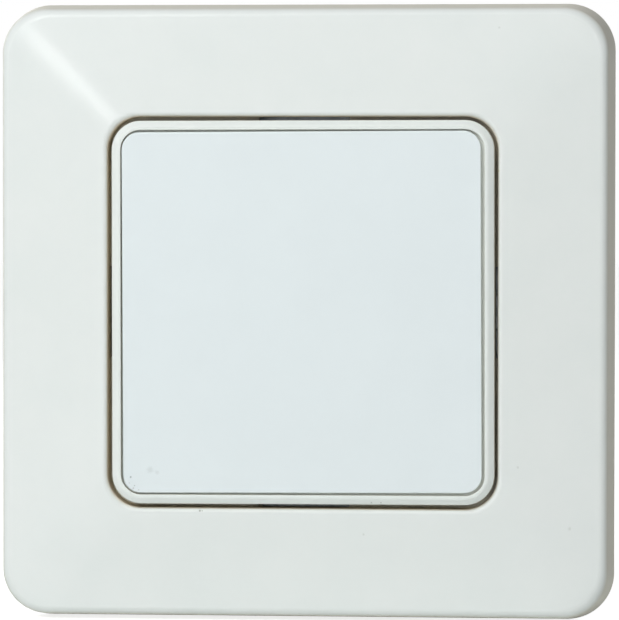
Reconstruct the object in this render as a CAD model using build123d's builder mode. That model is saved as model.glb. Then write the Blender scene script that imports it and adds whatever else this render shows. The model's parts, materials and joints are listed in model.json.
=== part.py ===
from build123d import *
from math import atan2, cos, radians, sin, tan
import os

# Touch dimmer switch, flush mounted, one gang, millimetres
# The wall is the plane Y = 0. The front faces -Y, +X is to the right seen from the front, +Z is up.
# The origin is the middle of the four box-screw holes.
# Heights are measured out of the wall, depths into it.

# Cover frame
cover_width = 81.0
cover_corner = 6.2
cover_draft = 6.0
cover_edge_height = 7.7
cover_lip_height = 9.6
cover_wall = 2.0
cover_edge_round = 1.3
lip_round = 0.8
opening_width = 51.1
opening_corner = 4.4
collar_wall = 1.6
ledge_top = 6.2
ledge_thickness = 1.2
ledge_gap = 0.6
notch_width = 12.0
rib_thickness = 1.0
rib_offset = 16.0
rib_clearance = 0.4

# Insert with its touch plate
insert_gap = 0.55
insert_height = 10.5
insert_edge_round = 0.8
insert_rim = 1.175
insert_floor = 1.6
insert_floor_hole = 8.0
skirt_step = 1.7
skirt_wall = 1.4
skirt_end_height = 3.4
snap_arm_width = 10.0
snap_slot = 1.0
barb_depth = 0.7
barb_height = 1.0
barb_rise = 0.9
barb_width = 6.0
plate_clearance = 0.325
plate_thickness = 0.8
plate_turn = 0.25
plate_edge_round = 0.15

# Support ring
ring_margin = 5.0
ring_thickness = 1.2
ring_corner_cut = 9.0
ring_opening_width = 26.0
ring_opening_height = 32.0
ring_opening_corner = 2.0
box_screw_circle = 60.0
box_screw_hole = 3.6

# Heat tab on the ring, behind the upper edge of its opening, and the triac on it
heat_tab_width = 14.0
triac_lift = 2.0
triac_overhang = 0.1
triac_hole_margin = 3.2
triac_screw_diameter = 2.9
heat_tab_end_gap = 1.5

# Claws and what drives them
claw_screw_offset = 24.6
claw_screw_diameter = 2.9
claw_screw_end_depth = 20.2
claw_screw_head = 5.0
claw_screw_head_height = 1.8
claw_screw_ring_hole = 3.2
claw_nut_width = 5.0
claw_nut_thickness = 2.4
claw_pivot_depth = 17.8
claw_travel = 5.0
claw_swing = 20.0
claw_sheet = 1.2
claw_web_offset = 3.0
claw_reach = 10.8
claw_ear_gap = 0.55
claw_ear_radius = 1.7
trunnion_diameter = 1.6
tooth_height = 0.8
tooth_length = 1.2
tooth_pitch = 1.0
tooth_notch_width = 4.4
tooth_notch_length = 3.0
lug_slide_gap = 0.35
lug_foot_start = 26.2
lug_foot_end = 32.6

# Housing behind the ring
housing_diameter = 52.0
housing_flat_offset = 20.5
housing_bottom_offset = 23.0
housing_depth = 24.0
housing_wall = 1.5
housing_bottom_wall = 2.0
housing_edge_round = 1.0
housing_corner_round = 2.0
boss_x = 15.1
boss_z = 14.8
boss_diameter = 5.2
boss_hole_depth = 9.0
housing_screw_diameter = 2.4
housing_screw_length = 9.5
housing_screw_head = 4.4
housing_screw_head_height = 1.6

# Housing cover in front of the ring
front_plate_gap = 0.3
front_plate_corner = 2.0
front_plate_thickness = 1.6
front_collar_wall = 1.3
front_collar_height = 4.0
snap_window_width = 9.0
snap_window_clearance = 0.3
spring_tube_bore = 6.6
spring_tube_wall = 1.2
spring_tube_gap = 0.4

# Circuit board
board_depth = 3.0
board_thickness = 1.6
board_top = 15.5
board_corner_clearance = 0.4
lead_end_gap = 1.2
lead_hole_clearance = 0.15

# Clearances shared by fitted pieces
thread_clearance = 0.05
edge_clearance = 0.3
seat_clearance = 0.2

# Cross slots as shares of the screw head, and the rounding of small edges
cross_length = 0.6
cross_width = 0.16
small_round = 0.5

# Contact spring
spring_diameter = 5.0
spring_wire = 0.5
spring_turns = 5

# Terminals
terminal_count = 3
terminal_pitch = 8.5
terminal_offset = 18.0
terminal_wall = 1.0
terminal_cross_wall = 13.9
terminal_screw_diameter = 3.4
terminal_screw_head = 5.6
terminal_screw_head_thickness = 2.0
terminal_screw_recess = 0.8
terminal_screw_window = 6.4
terminal_bar_thickness = 1.0
terminal_bar_width = 4.2
terminal_bar_depth = 12.5
terminal_leg_offset = 12.1
terminal_leg_width = 3.0
terminal_pin_width = 1.2
cage_width = 6.6
cage_length = 5.6
cage_side = 0.9
cage_front_wall = 1.0
cage_thread_wall = 2.4
cage_lift_gap = 0.4
wire_hole = 3.4
wire_hole_chamfer = 0.4

# Values worked out from the driving dimensions
front = Plane.XZ
edge_width = cover_width - 2 * cover_edge_height * tan(radians(cover_draft))
edge_corner = cover_corner - cover_edge_height * tan(radians(cover_draft))
insert_width = opening_width - 2 * insert_gap
insert_corner = opening_corner - insert_gap
recess_width = insert_width - 2 * insert_rim
recess_corner = insert_corner - insert_rim
skirt_width = insert_width - 2 * skirt_step
skirt_corner = insert_corner - skirt_step
ledge_width = skirt_width + 2 * ledge_gap
ledge_corner = skirt_corner + ledge_gap
collar_width = opening_width + 2 * collar_wall
ring_width = cover_width - 2 * ring_margin
ring_front = ring_thickness
plate_width = recess_width - 2 * plate_clearance
plate_corner = recess_corner - plate_clearance
plate_seat = insert_height - plate_thickness - seat_clearance
insert_floor_back = plate_seat - insert_floor
front_plate_width = skirt_width - 2 * skirt_wall - 2 * front_plate_gap
front_plate_front = ring_front + front_plate_thickness
barb_low = skirt_end_height + barb_rise
board_back = board_depth + board_thickness
housing_inner_depth = housing_depth - housing_wall
terminal_screw_head_depth = housing_depth - terminal_screw_recess - terminal_screw_head_thickness
housing_inner_bottom = housing_bottom_offset - housing_bottom_wall
claw_ear_inner = claw_nut_width / 2 + claw_ear_gap
claw_half_width = claw_ear_inner + claw_sheet
heat_tab_inner = ring_opening_height / 2
heat_tab_end_depth = housing_inner_depth - heat_tab_end_gap
triac_start_depth = board_back + triac_lift
triac_length = heat_tab_end_depth + triac_overhang - triac_start_depth
triac_hole_depth = triac_start_depth + triac_length - triac_hole_margin
boss_places = [(x, z) for x in (-boss_x, boss_x) for z in (-boss_z, boss_z)]
terminal_places = [(i - (terminal_count - 1) / 2) * terminal_pitch for i in range(terminal_count)]

os.makedirs("parts", exist_ok=True)


def finish(piece, label):
    """Name a finished piece and write it to its own file."""
    piece.part.label = label
    export_step(piece.part, f"parts/{label}.step")


def outer_edges(piece, height):
    """Edges of a piece that lie in the plane at this height out of the wall."""
    return piece.edges().filter_by_position(Axis.Y, -height - 0.01, -height + 0.01)


# Cover frame: drafted walls, a face that slopes up to the opening, and a collar with a ledge behind it
with BuildPart() as cover_frame:
    with BuildSketch(front):
        RectangleRounded(cover_width, cover_width, cover_corner)
    extrude(amount=cover_edge_height, taper=cover_draft)
    with BuildSketch(front.offset(cover_edge_height)):
        RectangleRounded(edge_width, edge_width, edge_corner)
    with BuildSketch(front.offset(cover_lip_height)):
        RectangleRounded(opening_width, opening_width, opening_corner)
    loft(ruled=True)
    fillet(outer_edges(cover_frame, cover_edge_height), radius=cover_edge_round)
    with BuildSketch(front):
        RectangleRounded(opening_width, opening_width, opening_corner)
    extrude(amount=cover_lip_height, mode=Mode.SUBTRACT)
    fillet(outer_edges(cover_frame, cover_lip_height), radius=lip_round)
    # The hollow follows the outside one wall thickness in
    cavity_height = cover_edge_height - cover_wall
    cavity_narrowing = cavity_height * tan(radians(cover_draft))
    cavity_width = cover_width - 2 * cover_wall
    with BuildSketch(front):
        RectangleRounded(cavity_width, cavity_width, cover_corner - cover_wall)
    extrude(amount=cavity_height, taper=cover_draft, mode=Mode.SUBTRACT)
    with BuildSketch(front.offset(cavity_height)):
        RectangleRounded(
            cavity_width - 2 * cavity_narrowing,
            cavity_width - 2 * cavity_narrowing,
            cover_corner - cover_wall - cavity_narrowing,
        )
    with BuildSketch(front.offset(cover_lip_height - cover_wall)):
        RectangleRounded(opening_width, opening_width, opening_corner)
    loft(ruled=True, mode=Mode.SUBTRACT)
    # Collar down to the support ring
    with BuildSketch(front.offset(ring_front)):
        RectangleRounded(collar_width, collar_width, opening_corner + collar_wall)
        RectangleRounded(opening_width, opening_width, opening_corner, mode=Mode.SUBTRACT)
    extrude(amount=cover_lip_height - cover_wall / 2 - lip_round - ring_front)
    # Ledge that the insert holds down, open in the middle of each side
    with BuildSketch(front.offset(ledge_top - ledge_thickness)):
        RectangleRounded(opening_width, opening_width, opening_corner)
        RectangleRounded(ledge_width, ledge_width, ledge_corner, mode=Mode.SUBTRACT)
        Rectangle(opening_width, notch_width, mode=Mode.SUBTRACT)
        Rectangle(notch_width, opening_width, mode=Mode.SUBTRACT)
    extrude(amount=ledge_thickness)
    # Room for the screw heads under the ledge
    with BuildSketch(front.offset(ring_front)):
        Rectangle(collar_width, notch_width)
        Rectangle(notch_width, collar_width)
    extrude(amount=ledge_top - ledge_thickness - ring_front, mode=Mode.SUBTRACT)
    # Ribs between the collar and the outer walls, two on each side
    rib_foot = ring_front + rib_clearance
    rib_outer = cavity_width / 2
    rib_inner = collar_width / 2 - collar_wall / 2
    rib_middle = (rib_outer + rib_inner) / 2
    with BuildSketch(front.offset(rib_foot)):
        for side in range(4):
            with Locations(Rotation(0, 0, 90 * side)):
                with Locations((rib_middle, rib_offset), (rib_middle, -rib_offset)):
                    Rectangle(rib_outer - rib_inner, rib_thickness)
    extrude(amount=cavity_height - rib_foot + cover_wall / 2)
finish(cover_frame, "cover_frame")

# Insert: a shallow tray for the touch plate, a flange that holds the cover down, and a skirt with snap arms
with BuildPart() as insert_bezel:
    with BuildSketch(front.offset(ledge_top)):
        RectangleRounded(insert_width, insert_width, insert_corner)
    extrude(amount=insert_height - ledge_top)
    fillet(outer_edges(insert_bezel, insert_height), radius=insert_edge_round)
    with BuildSketch(front.offset(plate_seat)):
        RectangleRounded(recess_width, recess_width, recess_corner)
    extrude(amount=insert_height - plate_seat, mode=Mode.SUBTRACT)
    with BuildSketch(front.offset(skirt_end_height)):
        RectangleRounded(skirt_width, skirt_width, skirt_corner)
    extrude(amount=ledge_top - skirt_end_height)
    inner_width = skirt_width - 2 * skirt_wall
    with BuildSketch(front.offset(skirt_end_height)):
        RectangleRounded(inner_width, inner_width, skirt_corner - skirt_wall)
    extrude(amount=insert_floor_back - skirt_end_height, mode=Mode.SUBTRACT)
    with BuildSketch(front.offset(insert_floor_back)):
        Circle(insert_floor_hole / 2)
    extrude(amount=insert_floor, mode=Mode.SUBTRACT)
    # Slots that free a snap arm in the middle of each side
    slot_offset = (snap_arm_width + snap_slot) / 2
    with BuildSketch(front.offset(skirt_end_height)):
        with Locations((slot_offset, 0), (-slot_offset, 0)):
            Rectangle(snap_slot, skirt_width)
        with Locations((0, slot_offset), (0, -slot_offset)):
            Rectangle(skirt_width, snap_slot)
        Rectangle(inner_width, inner_width, mode=Mode.SUBTRACT)
    extrude(amount=ledge_top - skirt_end_height, mode=Mode.SUBTRACT)
    # Barbs on the arms, wedges that face inward
    skirt_inner = inner_width / 2
    for turn in range(4):
        side = Plane.XY.rotated((0, 90 * turn, 0))
        with BuildSketch(side.offset(-barb_width / 2)):
            with BuildLine():
                Polyline(
                    (skirt_inner + skirt_wall / 2, -barb_low),
                    (skirt_inner, -barb_low),
                    (skirt_inner - barb_depth, -barb_low - barb_height),
                    (skirt_inner + skirt_wall / 2, -barb_low - barb_height),
                    close=True,
                )
            make_face()
        extrude(amount=barb_width)
finish(insert_bezel, "insert_bezel")

# Touch plate: flat enamelled sheet with softened edges, seated slightly askew
with BuildPart() as touch_plate:
    with BuildSketch(front.offset(plate_seat)):
        with Locations(Rotation(0, 0, plate_turn)):
            RectangleRounded(plate_width, plate_width, plate_corner)
    extrude(amount=plate_thickness)
    fillet(outer_edges(touch_plate, plate_seat + plate_thickness), radius=plate_edge_round)
finish(touch_plate, "touch_plate")


def claw_corner(share):
    """Where the inner front corner of the right claw is after this share of the nut's travel, as (X, Y)."""
    angle = radians(claw_swing) * share
    pivot_y = claw_pivot_depth - claw_travel * share
    x = claw_screw_offset + claw_web_offset * cos(angle) + claw_reach * sin(angle)
    y = pivot_y + claw_web_offset * sin(angle) - claw_reach * cos(angle)
    return x, y


# The guide lugs' sloping edge runs beside the path of that corner, from rest to full travel
corner_start = claw_corner(0)
corner_end = claw_corner(1)
ramp_angle = atan2(corner_start[1] - corner_end[1], corner_end[0] - corner_start[0])
ramp_start_x = corner_start[0] - lug_slide_gap * sin(ramp_angle)
ramp_start_y = corner_start[1] - lug_slide_gap * cos(ramp_angle)
ramp_end_y = ramp_start_y - (lug_foot_end - ramp_start_x) * tan(ramp_angle)

# Support ring: stamped sheet with guide lugs bent back beside each claw and one heat tab
with BuildPart() as support_ring:
    with BuildSketch(front) as ring_outline:
        Rectangle(ring_width, ring_width)
        chamfer(ring_outline.vertices(), length=ring_corner_cut)
        RectangleRounded(ring_opening_width, ring_opening_height, ring_opening_corner, mode=Mode.SUBTRACT)
        with PolarLocations(box_screw_circle / 2, 4):
            Circle(box_screw_hole / 2, mode=Mode.SUBTRACT)
        with Locations((claw_screw_offset, 0), (-claw_screw_offset, 0)):
            Circle(claw_screw_ring_hole / 2, mode=Mode.SUBTRACT)
        with Locations(*boss_places):
            Circle(housing_screw_diameter / 2 + seat_clearance, mode=Mode.SUBTRACT)
        # Windows left where the lugs were bent back
        window_x = (lug_foot_start + lug_foot_end) / 2
        window_z = claw_half_width + ramp_start_y / 2
        with GridLocations(2 * window_x, 2 * window_z, 2, 2):
            Rectangle(lug_foot_end - lug_foot_start, ramp_start_y, mode=Mode.SUBTRACT)
    extrude(amount=ring_thickness)
    for side in (1, -1):
        for level in (claw_ear_inner, -claw_half_width):
            with BuildSketch(Plane.XY.offset(level)):
                with BuildLine():
                    Polyline(
                        (side * lug_foot_start, -ring_thickness),
                        (side * lug_foot_end, -ring_thickness),
                        (side * lug_foot_end, ramp_end_y),
                        (side * ramp_start_x, ramp_start_y),
                        (side * lug_foot_start, ramp_start_y),
                        close=True,
                    )
                make_face()
            extrude(amount=claw_sheet)
    # Heat tab, folded back along the upper edge of the opening
    with BuildSketch(front.offset(ring_thickness)):
        with Locations((0, heat_tab_inner + ring_thickness / 2)):
            Rectangle(heat_tab_width, ring_thickness)
    extrude(amount=-ring_thickness - heat_tab_end_depth)
    with BuildSketch(Plane.XY.offset(heat_tab_inner)):
        with Locations((0, triac_hole_depth)):
            Circle(triac_screw_diameter / 2 + seat_clearance)
    extrude(amount=ring_thickness, mode=Mode.SUBTRACT)
finish(support_ring, "support_ring")


def make_claw_screw(x):
    """Pan-head screw with a cross slot, its head on the front of the ring."""
    with BuildPart() as screw:
        with BuildSketch(front.offset(ring_front)):
            with Locations((x, 0)):
                Circle(claw_screw_head / 2)
        extrude(amount=claw_screw_head_height)
        fillet(screw.edges().group_by(Axis.Y)[0], radius=claw_screw_head_height / 3)
        with BuildSketch(front.offset(ring_front)):
            with Locations((x, 0)):
                Circle(claw_screw_diameter / 2)
        extrude(amount=-ring_front - claw_screw_end_depth)
        with BuildSketch(front.offset(ring_front + claw_screw_head_height)):
            with Locations((x, 0)):
                Rectangle(claw_screw_head * cross_length, claw_screw_head * cross_width)
                Rectangle(claw_screw_head * cross_width, claw_screw_head * cross_length)
        extrude(amount=-claw_screw_head_height / 2, mode=Mode.SUBTRACT)
    return screw


def make_claw_nut(x):
    """Square nut with a trunnion on each side, on which its claw swings."""
    with BuildPart() as nut:
        with BuildSketch(front.offset(-claw_pivot_depth - claw_nut_thickness / 2)):
            with Locations((x, 0)):
                Rectangle(claw_nut_width, claw_nut_width)
        extrude(amount=claw_nut_thickness)
        with BuildSketch(Plane.XY.offset(-claw_half_width)):
            with Locations((x, claw_pivot_depth)):
                Circle(trunnion_diameter / 2)
        extrude(amount=2 * claw_half_width)
        with BuildSketch(front.offset(-claw_pivot_depth - claw_nut_thickness / 2)):
            with Locations((x, 0)):
                Circle(claw_screw_diameter / 2 + thread_clearance)
        extrude(amount=claw_nut_thickness, mode=Mode.SUBTRACT)
    return nut


def make_claw(side):
    """Claw bent from sheet: a web with two ears on the nut's trunnions and teeth at its front end."""
    web_inner = claw_screw_offset + claw_web_offset
    web_outer = web_inner + claw_sheet
    web_front = claw_pivot_depth - claw_reach
    web_back = claw_pivot_depth + claw_ear_radius
    web_middle_y = (web_front + web_back) / 2
    with BuildPart() as claw:
        with BuildSketch(Plane.XY.offset(-claw_half_width)):
            with Locations((side * (web_inner + web_outer) / 2, web_middle_y)):
                Rectangle(claw_sheet, web_back - web_front)
        extrude(amount=2 * claw_half_width)
        # Ears round the trunnions
        for level in (claw_ear_inner, -claw_half_width):
            with BuildSketch(Plane.XY.offset(level)):
                with Locations((side * claw_screw_offset, claw_pivot_depth)):
                    Circle(claw_ear_radius)
                with Locations((side * (claw_screw_offset + web_outer) / 2, claw_pivot_depth)):
                    Rectangle(web_outer - claw_screw_offset, 2 * claw_ear_radius)
                with Locations((side * claw_screw_offset, claw_pivot_depth)):
                    Circle(trunnion_diameter / 2 + thread_clearance, mode=Mode.SUBTRACT)
            extrude(amount=claw_sheet)
        # Teeth that bite into the box wall
        tooth_count = int(2 * claw_half_width / tooth_pitch)
        first_tooth = -(tooth_count - 1) * tooth_pitch / 2
        with BuildSketch(front.offset(-web_front)):
            for i in range(tooth_count):
                middle = first_tooth + i * tooth_pitch
                with BuildLine():
                    Polyline(
                        (side * web_inner, middle - tooth_pitch / 2),
                        (side * web_outer, middle - tooth_pitch / 2),
                        (side * (web_outer + tooth_height), middle),
                        (side * web_outer, middle + tooth_pitch / 2),
                        (side * web_inner, middle + tooth_pitch / 2),
                        close=True,
                    )
                make_face()
        extrude(amount=-tooth_length)
        # Notch that lets a box screw pass between the teeth
        with BuildSketch(front.offset(-web_front)):
            with Locations((side * (web_inner + web_outer) / 2, 0)):
                Rectangle(2 * (claw_sheet + tooth_height), tooth_notch_width)
        extrude(amount=-tooth_notch_length, mode=Mode.SUBTRACT)
    return claw


for side, side_name in ((-1, "left"), (1, "right")):
    finish(make_claw_screw(side * claw_screw_offset), f"claw_screw_{side_name}")
    finish(make_claw_nut(side * claw_screw_offset), f"claw_nut_{side_name}")
    finish(make_claw(side), f"claw_{side_name}")


def housing_outline(inset, bottom_inset):
    """Draw the housing's outline into the sketch: a circle with two flat sides and a flat bottom."""
    radius = housing_diameter / 2 - inset
    bottom = housing_bottom_offset - bottom_inset
    Circle(radius)
    with Locations((0, (radius - bottom) / 2)):
        Rectangle(2 * (housing_flat_offset - inset), radius + bottom, mode=Mode.INTERSECT)


# Housing base: a moulded cup with screw bosses and three terminal chambers
with BuildPart() as housing_base:
    with BuildSketch(front.offset(-housing_depth)) as cup_outline:
        housing_outline(0, 0)
        fillet(cup_outline.vertices(), radius=housing_corner_round)
    extrude(amount=housing_depth)
    fillet(outer_edges(housing_base, -housing_depth), radius=housing_edge_round)
    with BuildSketch(front.offset(-housing_inner_depth)):
        housing_outline(housing_wall, housing_bottom_wall)
    extrude(amount=housing_inner_depth, mode=Mode.SUBTRACT)
    with BuildSketch(front.offset(-housing_inner_depth)):
        with Locations(*boss_places):
            Circle(boss_diameter / 2)
    extrude(amount=housing_inner_depth)
    # Walls between and above the terminal chambers
    chamber_height = housing_inner_bottom - terminal_cross_wall + terminal_wall / 2
    chamber_middle = -(housing_inner_bottom + terminal_cross_wall - terminal_wall / 2) / 2
    with BuildSketch(front.offset(-housing_inner_depth)):
        for i in range(terminal_count + 1):
            with Locations(((i - terminal_count / 2) * terminal_pitch, chamber_middle)):
                Rectangle(terminal_wall, chamber_height)
        with Locations((0, -terminal_cross_wall)):
            Rectangle(terminal_count * terminal_pitch + terminal_wall, terminal_wall)
    extrude(amount=housing_inner_depth - board_back)
    # Slots for the terminal bars, screw windows in the rear wall and wire holes in the bottom
    slot_middle = terminal_bar_depth + terminal_bar_thickness / 2
    slot_width = terminal_bar_width + 2 * edge_clearance
    slot_depth = terminal_bar_thickness + 2 * edge_clearance
    with BuildSketch(Plane.XY.offset(-terminal_cross_wall - terminal_wall / 2)):
        for x in terminal_places:
            with Locations((x, slot_middle)):
                Rectangle(slot_width, slot_depth)
    extrude(amount=terminal_wall, mode=Mode.SUBTRACT)
    with BuildSketch(front.offset(-housing_depth)):
        with Locations(*[(x, -terminal_offset) for x in terminal_places]):
            Circle(terminal_screw_window / 2)
    extrude(amount=housing_wall, mode=Mode.SUBTRACT)
    wire_depth = terminal_bar_depth - wire_hole / 2
    bottom_face = Plane(origin=(0, wire_depth, -housing_bottom_offset), x_dir=(1, 0, 0), z_dir=(0, 0, -1))
    with Locations(bottom_face):
        with Locations(*[(x, 0) for x in terminal_places]):
            CounterSinkHole(wire_hole / 2, wire_hole / 2 + wire_hole_chamfer, housing_bottom_wall, 90)
    # Screw holes in the bosses
    with Locations(front):
        with Locations(*boss_places):
            Hole(housing_screw_diameter / 2 + thread_clearance, boss_hole_depth)
finish(housing_base, "housing_base")

# Housing cover: a plate in front of the ring, a plug in the ring's opening, and a collar for the insert
with BuildPart() as housing_cover:
    with BuildSketch(front.offset(ring_front)):
        RectangleRounded(front_plate_width, front_plate_width, front_plate_corner)
    extrude(amount=front_plate_thickness)
    with BuildSketch(front.offset(front_plate_front)):
        RectangleRounded(front_plate_width, front_plate_width, front_plate_corner)
        inner_width = front_plate_width - 2 * front_collar_wall
        inner_corner = front_plate_corner - front_collar_wall
        RectangleRounded(inner_width, inner_width, inner_corner, mode=Mode.SUBTRACT)
    extrude(amount=front_collar_height)
    with BuildSketch(front):
        RectangleRounded(
            ring_opening_width - 2 * seat_clearance,
            ring_opening_height - 2 * seat_clearance,
            ring_opening_corner - seat_clearance,
        )
    extrude(amount=ring_thickness)
    tube_top = insert_floor_back - spring_tube_gap
    with BuildSketch(front):
        Circle(spring_tube_bore / 2 + spring_tube_wall)
    extrude(amount=tube_top)
    with BuildSketch(front):
        Circle(spring_tube_bore / 2)
        with Locations(*boss_places):
            Circle(housing_screw_diameter / 2 + seat_clearance)
    extrude(amount=tube_top, mode=Mode.SUBTRACT)
    # Windows that the insert's barbs snap into
    window_low = barb_low - snap_window_clearance
    window_height = barb_height + 2 * snap_window_clearance
    with BuildSketch(front.offset(window_low)):
        Rectangle(front_plate_width, snap_window_width)
        Rectangle(snap_window_width, front_plate_width)
        Rectangle(inner_width, inner_width, mode=Mode.SUBTRACT)
    extrude(amount=window_height, mode=Mode.SUBTRACT)
finish(housing_cover, "housing_cover")

# Housing screws: four self-tapping screws through the cover and the ring into the bosses
with BuildPart() as housing_screws:
    with BuildSketch(front.offset(front_plate_front)):
        with Locations(*boss_places):
            Circle(housing_screw_head / 2)
    extrude(amount=housing_screw_head_height)
    fillet(outer_edges(housing_screws, front_plate_front + housing_screw_head_height), radius=small_round)
    with BuildSketch(front.offset(front_plate_front)):
        with Locations(*boss_places):
            Circle(housing_screw_diameter / 2)
    extrude(amount=-housing_screw_length)
    with BuildSketch(front.offset(front_plate_front + housing_screw_head_height)):
        with Locations(*boss_places):
            Rectangle(housing_screw_head * cross_length, housing_screw_head * cross_width)
            Rectangle(housing_screw_head * cross_width, housing_screw_head * cross_length)
    extrude(amount=-housing_screw_head_height / 2, mode=Mode.SUBTRACT)
finish(housing_screws, "housing_screws")

# Contact spring: a coil between the circuit board and the touch plate
with BuildPart() as contact_spring:
    spring_height = board_depth + plate_seat - spring_wire - 2 * thread_clearance
    with BuildLine() as coil:
        Helix(
            pitch=spring_height / spring_turns,
            height=spring_height,
            radius=spring_diameter / 2,
            center=(0, board_depth - spring_wire / 2 - thread_clearance, 0),
            direction=(0, -1, 0),
        )
    with BuildSketch(Plane(origin=coil.line @ 0, z_dir=coil.line % 0)):
        Circle(spring_wire / 2)
    sweep(path=coil.line, is_frenet=True)
finish(contact_spring, "contact_spring")

# Electronic parts on the back of the board, each as (X, Z) of its middle
triac_width = 10.0
triac_thickness = 4.5
triac_pad_thickness = 0.3
triac_pad_margin = 1.0
triac_chamfer = 0.6
triac_leg_pitch = 2.54
triac_leg_width = 0.8
triac_leg_offset = 2.4
triac_face = heat_tab_inner - triac_pad_thickness
choke_place = (-8.6, 2.5)
choke_diameter = 15.6
choke_bore = 7.0
choke_height = 6.5
winding_thickness = 0.8
winding_angle = 320.0
film_place = (9.6, 6.9)
film_size = (12.5, 5.6, 10.5)
film_lead_inset = 1.2
smoothing_place = (15.1, -7.9)
smoothing_diameter = 6.3
smoothing_height = 11.0
smoothing_lead_pitch = 2.5
chip_place = (8.4, -0.9)
chip_size = (9.2, 6.2, 3.3)
chip_pin_pitch = 2.54
chip_row_offset = 3.81
chip_chamfer = 0.4
chip_lift = 0.4
chip_pin_thickness = 0.3
resistor_places = [(7.2, -6.2), (7.2, -9.2)]
touch_resistor_places = [(1.7, -1.0), (16.6, 0.6)]
diode_places = [(-9.4, 11.9), (9.4, 11.9)]
resistor_diameter = 2.3
resistor_length = 5.8
diode_diameter = 2.6
diode_length = 4.6
lead_diameter = 0.6
lead_run = 1.2
fuse_place = (-7.0, -8.7)
fuse_diameter = 5.0
fuse_length = 20.0
fuse_cap_length = 5.0
fuse_cap_wall = 0.3
fuse_clip_sheet = 0.4
fuse_clip_width = 4.0
fuse_lift = 1.2


def board_point(x, z, lift=0.0):
    """Plane on the back of the board at this place, facing away from the board."""
    return Plane(origin=(x, board_back + lift, z), x_dir=(1, 0, 0), z_dir=(0, 1, 0))


def add_leads(places, start_depth):
    """Straight leads from this depth through the board to its front side, added to the current part."""
    with BuildSketch(front.offset(-start_depth)) as leads:
        with Locations(*places):
            Circle(lead_diameter / 2)
    extrude(leads.sketch, amount=start_depth - board_depth + lead_end_gap)


def axial_leads(place, length, along_x):
    """Lead places of a lying part with a lead at each end."""
    reach = length / 2 + lead_run
    if along_x:
        return [(place[0] - reach, place[1]), (place[0] + reach, place[1])]
    return [(place[0], place[1] - reach), (place[0], place[1] + reach)]


def add_axial(place, diameter, length, along_x):
    """A lying round body with its leads bent down into the board, added to the current part."""
    axis_depth = board_back + diameter / 2
    turn = (1, 0, 0) if along_x else (0, 0, 1)
    middle = (place[0], axis_depth, place[1])
    with BuildSketch(Plane(origin=middle, z_dir=turn)) as body:
        Circle(diameter / 2)
    extrude(body.sketch, amount=length / 2, both=True)
    with BuildSketch(Plane(origin=middle, z_dir=turn)) as wire:
        Circle(lead_diameter / 2)
    extrude(wire.sketch, amount=length / 2 + lead_run, both=True)
    add_leads(axial_leads(place, length, along_x), axis_depth)


lead_places = []

# Triac: full-moulded power package on the heat tab, its three legs in the board
triac_leg_z = triac_face - triac_leg_offset
triac_leg_places = [(i * triac_leg_pitch, triac_leg_z) for i in (-1, 0, 1)]
lead_places += triac_leg_places
with BuildPart() as triac:
    with BuildSketch(front.offset(-triac_start_depth)):
        with Locations((0, triac_face - triac_thickness / 2)):
            Rectangle(triac_width, triac_thickness)
    extrude(amount=-triac_length)
    chamfer(triac.edges().filter_by(Axis.X).group_by(Axis.Z)[0], length=triac_chamfer)
    with BuildSketch(Plane.XY.offset(triac_face - triac_thickness)):
        with Locations((0, triac_hole_depth)):
            Circle(triac_screw_diameter / 2 + seat_clearance)
    extrude(amount=triac_thickness, mode=Mode.SUBTRACT)
    with BuildSketch(front.offset(-triac_start_depth)):
        with Locations(*triac_leg_places):
            Rectangle(triac_leg_width, triac_leg_width / 2)
    extrude(amount=triac_start_depth - board_depth + lead_end_gap)
finish(triac, "triac")

with BuildPart() as triac_pad:
    pad_length = heat_tab_end_depth - triac_start_depth + triac_pad_margin / 2
    with BuildSketch(Plane.XY.offset(triac_face)):
        with Locations((0, heat_tab_end_depth - pad_length / 2)):
            Rectangle(triac_width + 2 * triac_pad_margin, pad_length)
        with Locations((0, triac_hole_depth)):
            Circle(triac_screw_diameter / 2 + seat_clearance, mode=Mode.SUBTRACT)
    extrude(amount=triac_pad_thickness)
finish(triac_pad, "triac_pad")

triac_nut_width = 5.5
triac_nut_thickness = 2.4
triac_screw_head = 5.4
triac_screw_head_height = 2.0
triac_screw_end = 0.6
tab_outer = heat_tab_inner + ring_thickness
with BuildPart() as triac_screw:
    with BuildSketch(Plane.XY.offset(triac_face - triac_thickness)):
        with Locations((0, triac_hole_depth)):
            Circle(triac_screw_head / 2)
    extrude(amount=-triac_screw_head_height)
    fillet(triac_screw.edges().group_by(Axis.Z)[0], radius=small_round)
    with BuildSketch(Plane.XY.offset(triac_face - triac_thickness)):
        with Locations((0, triac_hole_depth)):
            Circle(triac_screw_diameter / 2)
    extrude(amount=tab_outer + triac_nut_thickness + triac_screw_end - (triac_face - triac_thickness))
finish(triac_screw, "triac_screw")

with BuildPart() as triac_nut:
    with BuildSketch(Plane.XY.offset(tab_outer)):
        with Locations((0, triac_hole_depth)):
            RegularPolygon(triac_nut_width / 2, 6, major_radius=False)
            Circle(triac_screw_diameter / 2 + thread_clearance, mode=Mode.SUBTRACT)
    extrude(amount=triac_nut_thickness)
finish(triac_nut, "triac_nut")

# Choke: powder ring core with one layer of wire round most of it
choke_base = board_back + winding_thickness + seat_clearance
choke_axis = Axis((choke_place[0], 0, choke_place[1]), (0, 1, 0))
core_wall = (choke_diameter - choke_bore) / 2
core_middle = (choke_diameter + choke_bore) / 4
with BuildPart() as choke_core:
    with BuildSketch(board_point(*choke_place, winding_thickness + seat_clearance)):
        Circle(choke_diameter / 2 - winding_thickness)
        Circle(choke_bore / 2 + winding_thickness, mode=Mode.SUBTRACT)
    extrude(amount=choke_height)
finish(choke_core, "choke_core")

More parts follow.
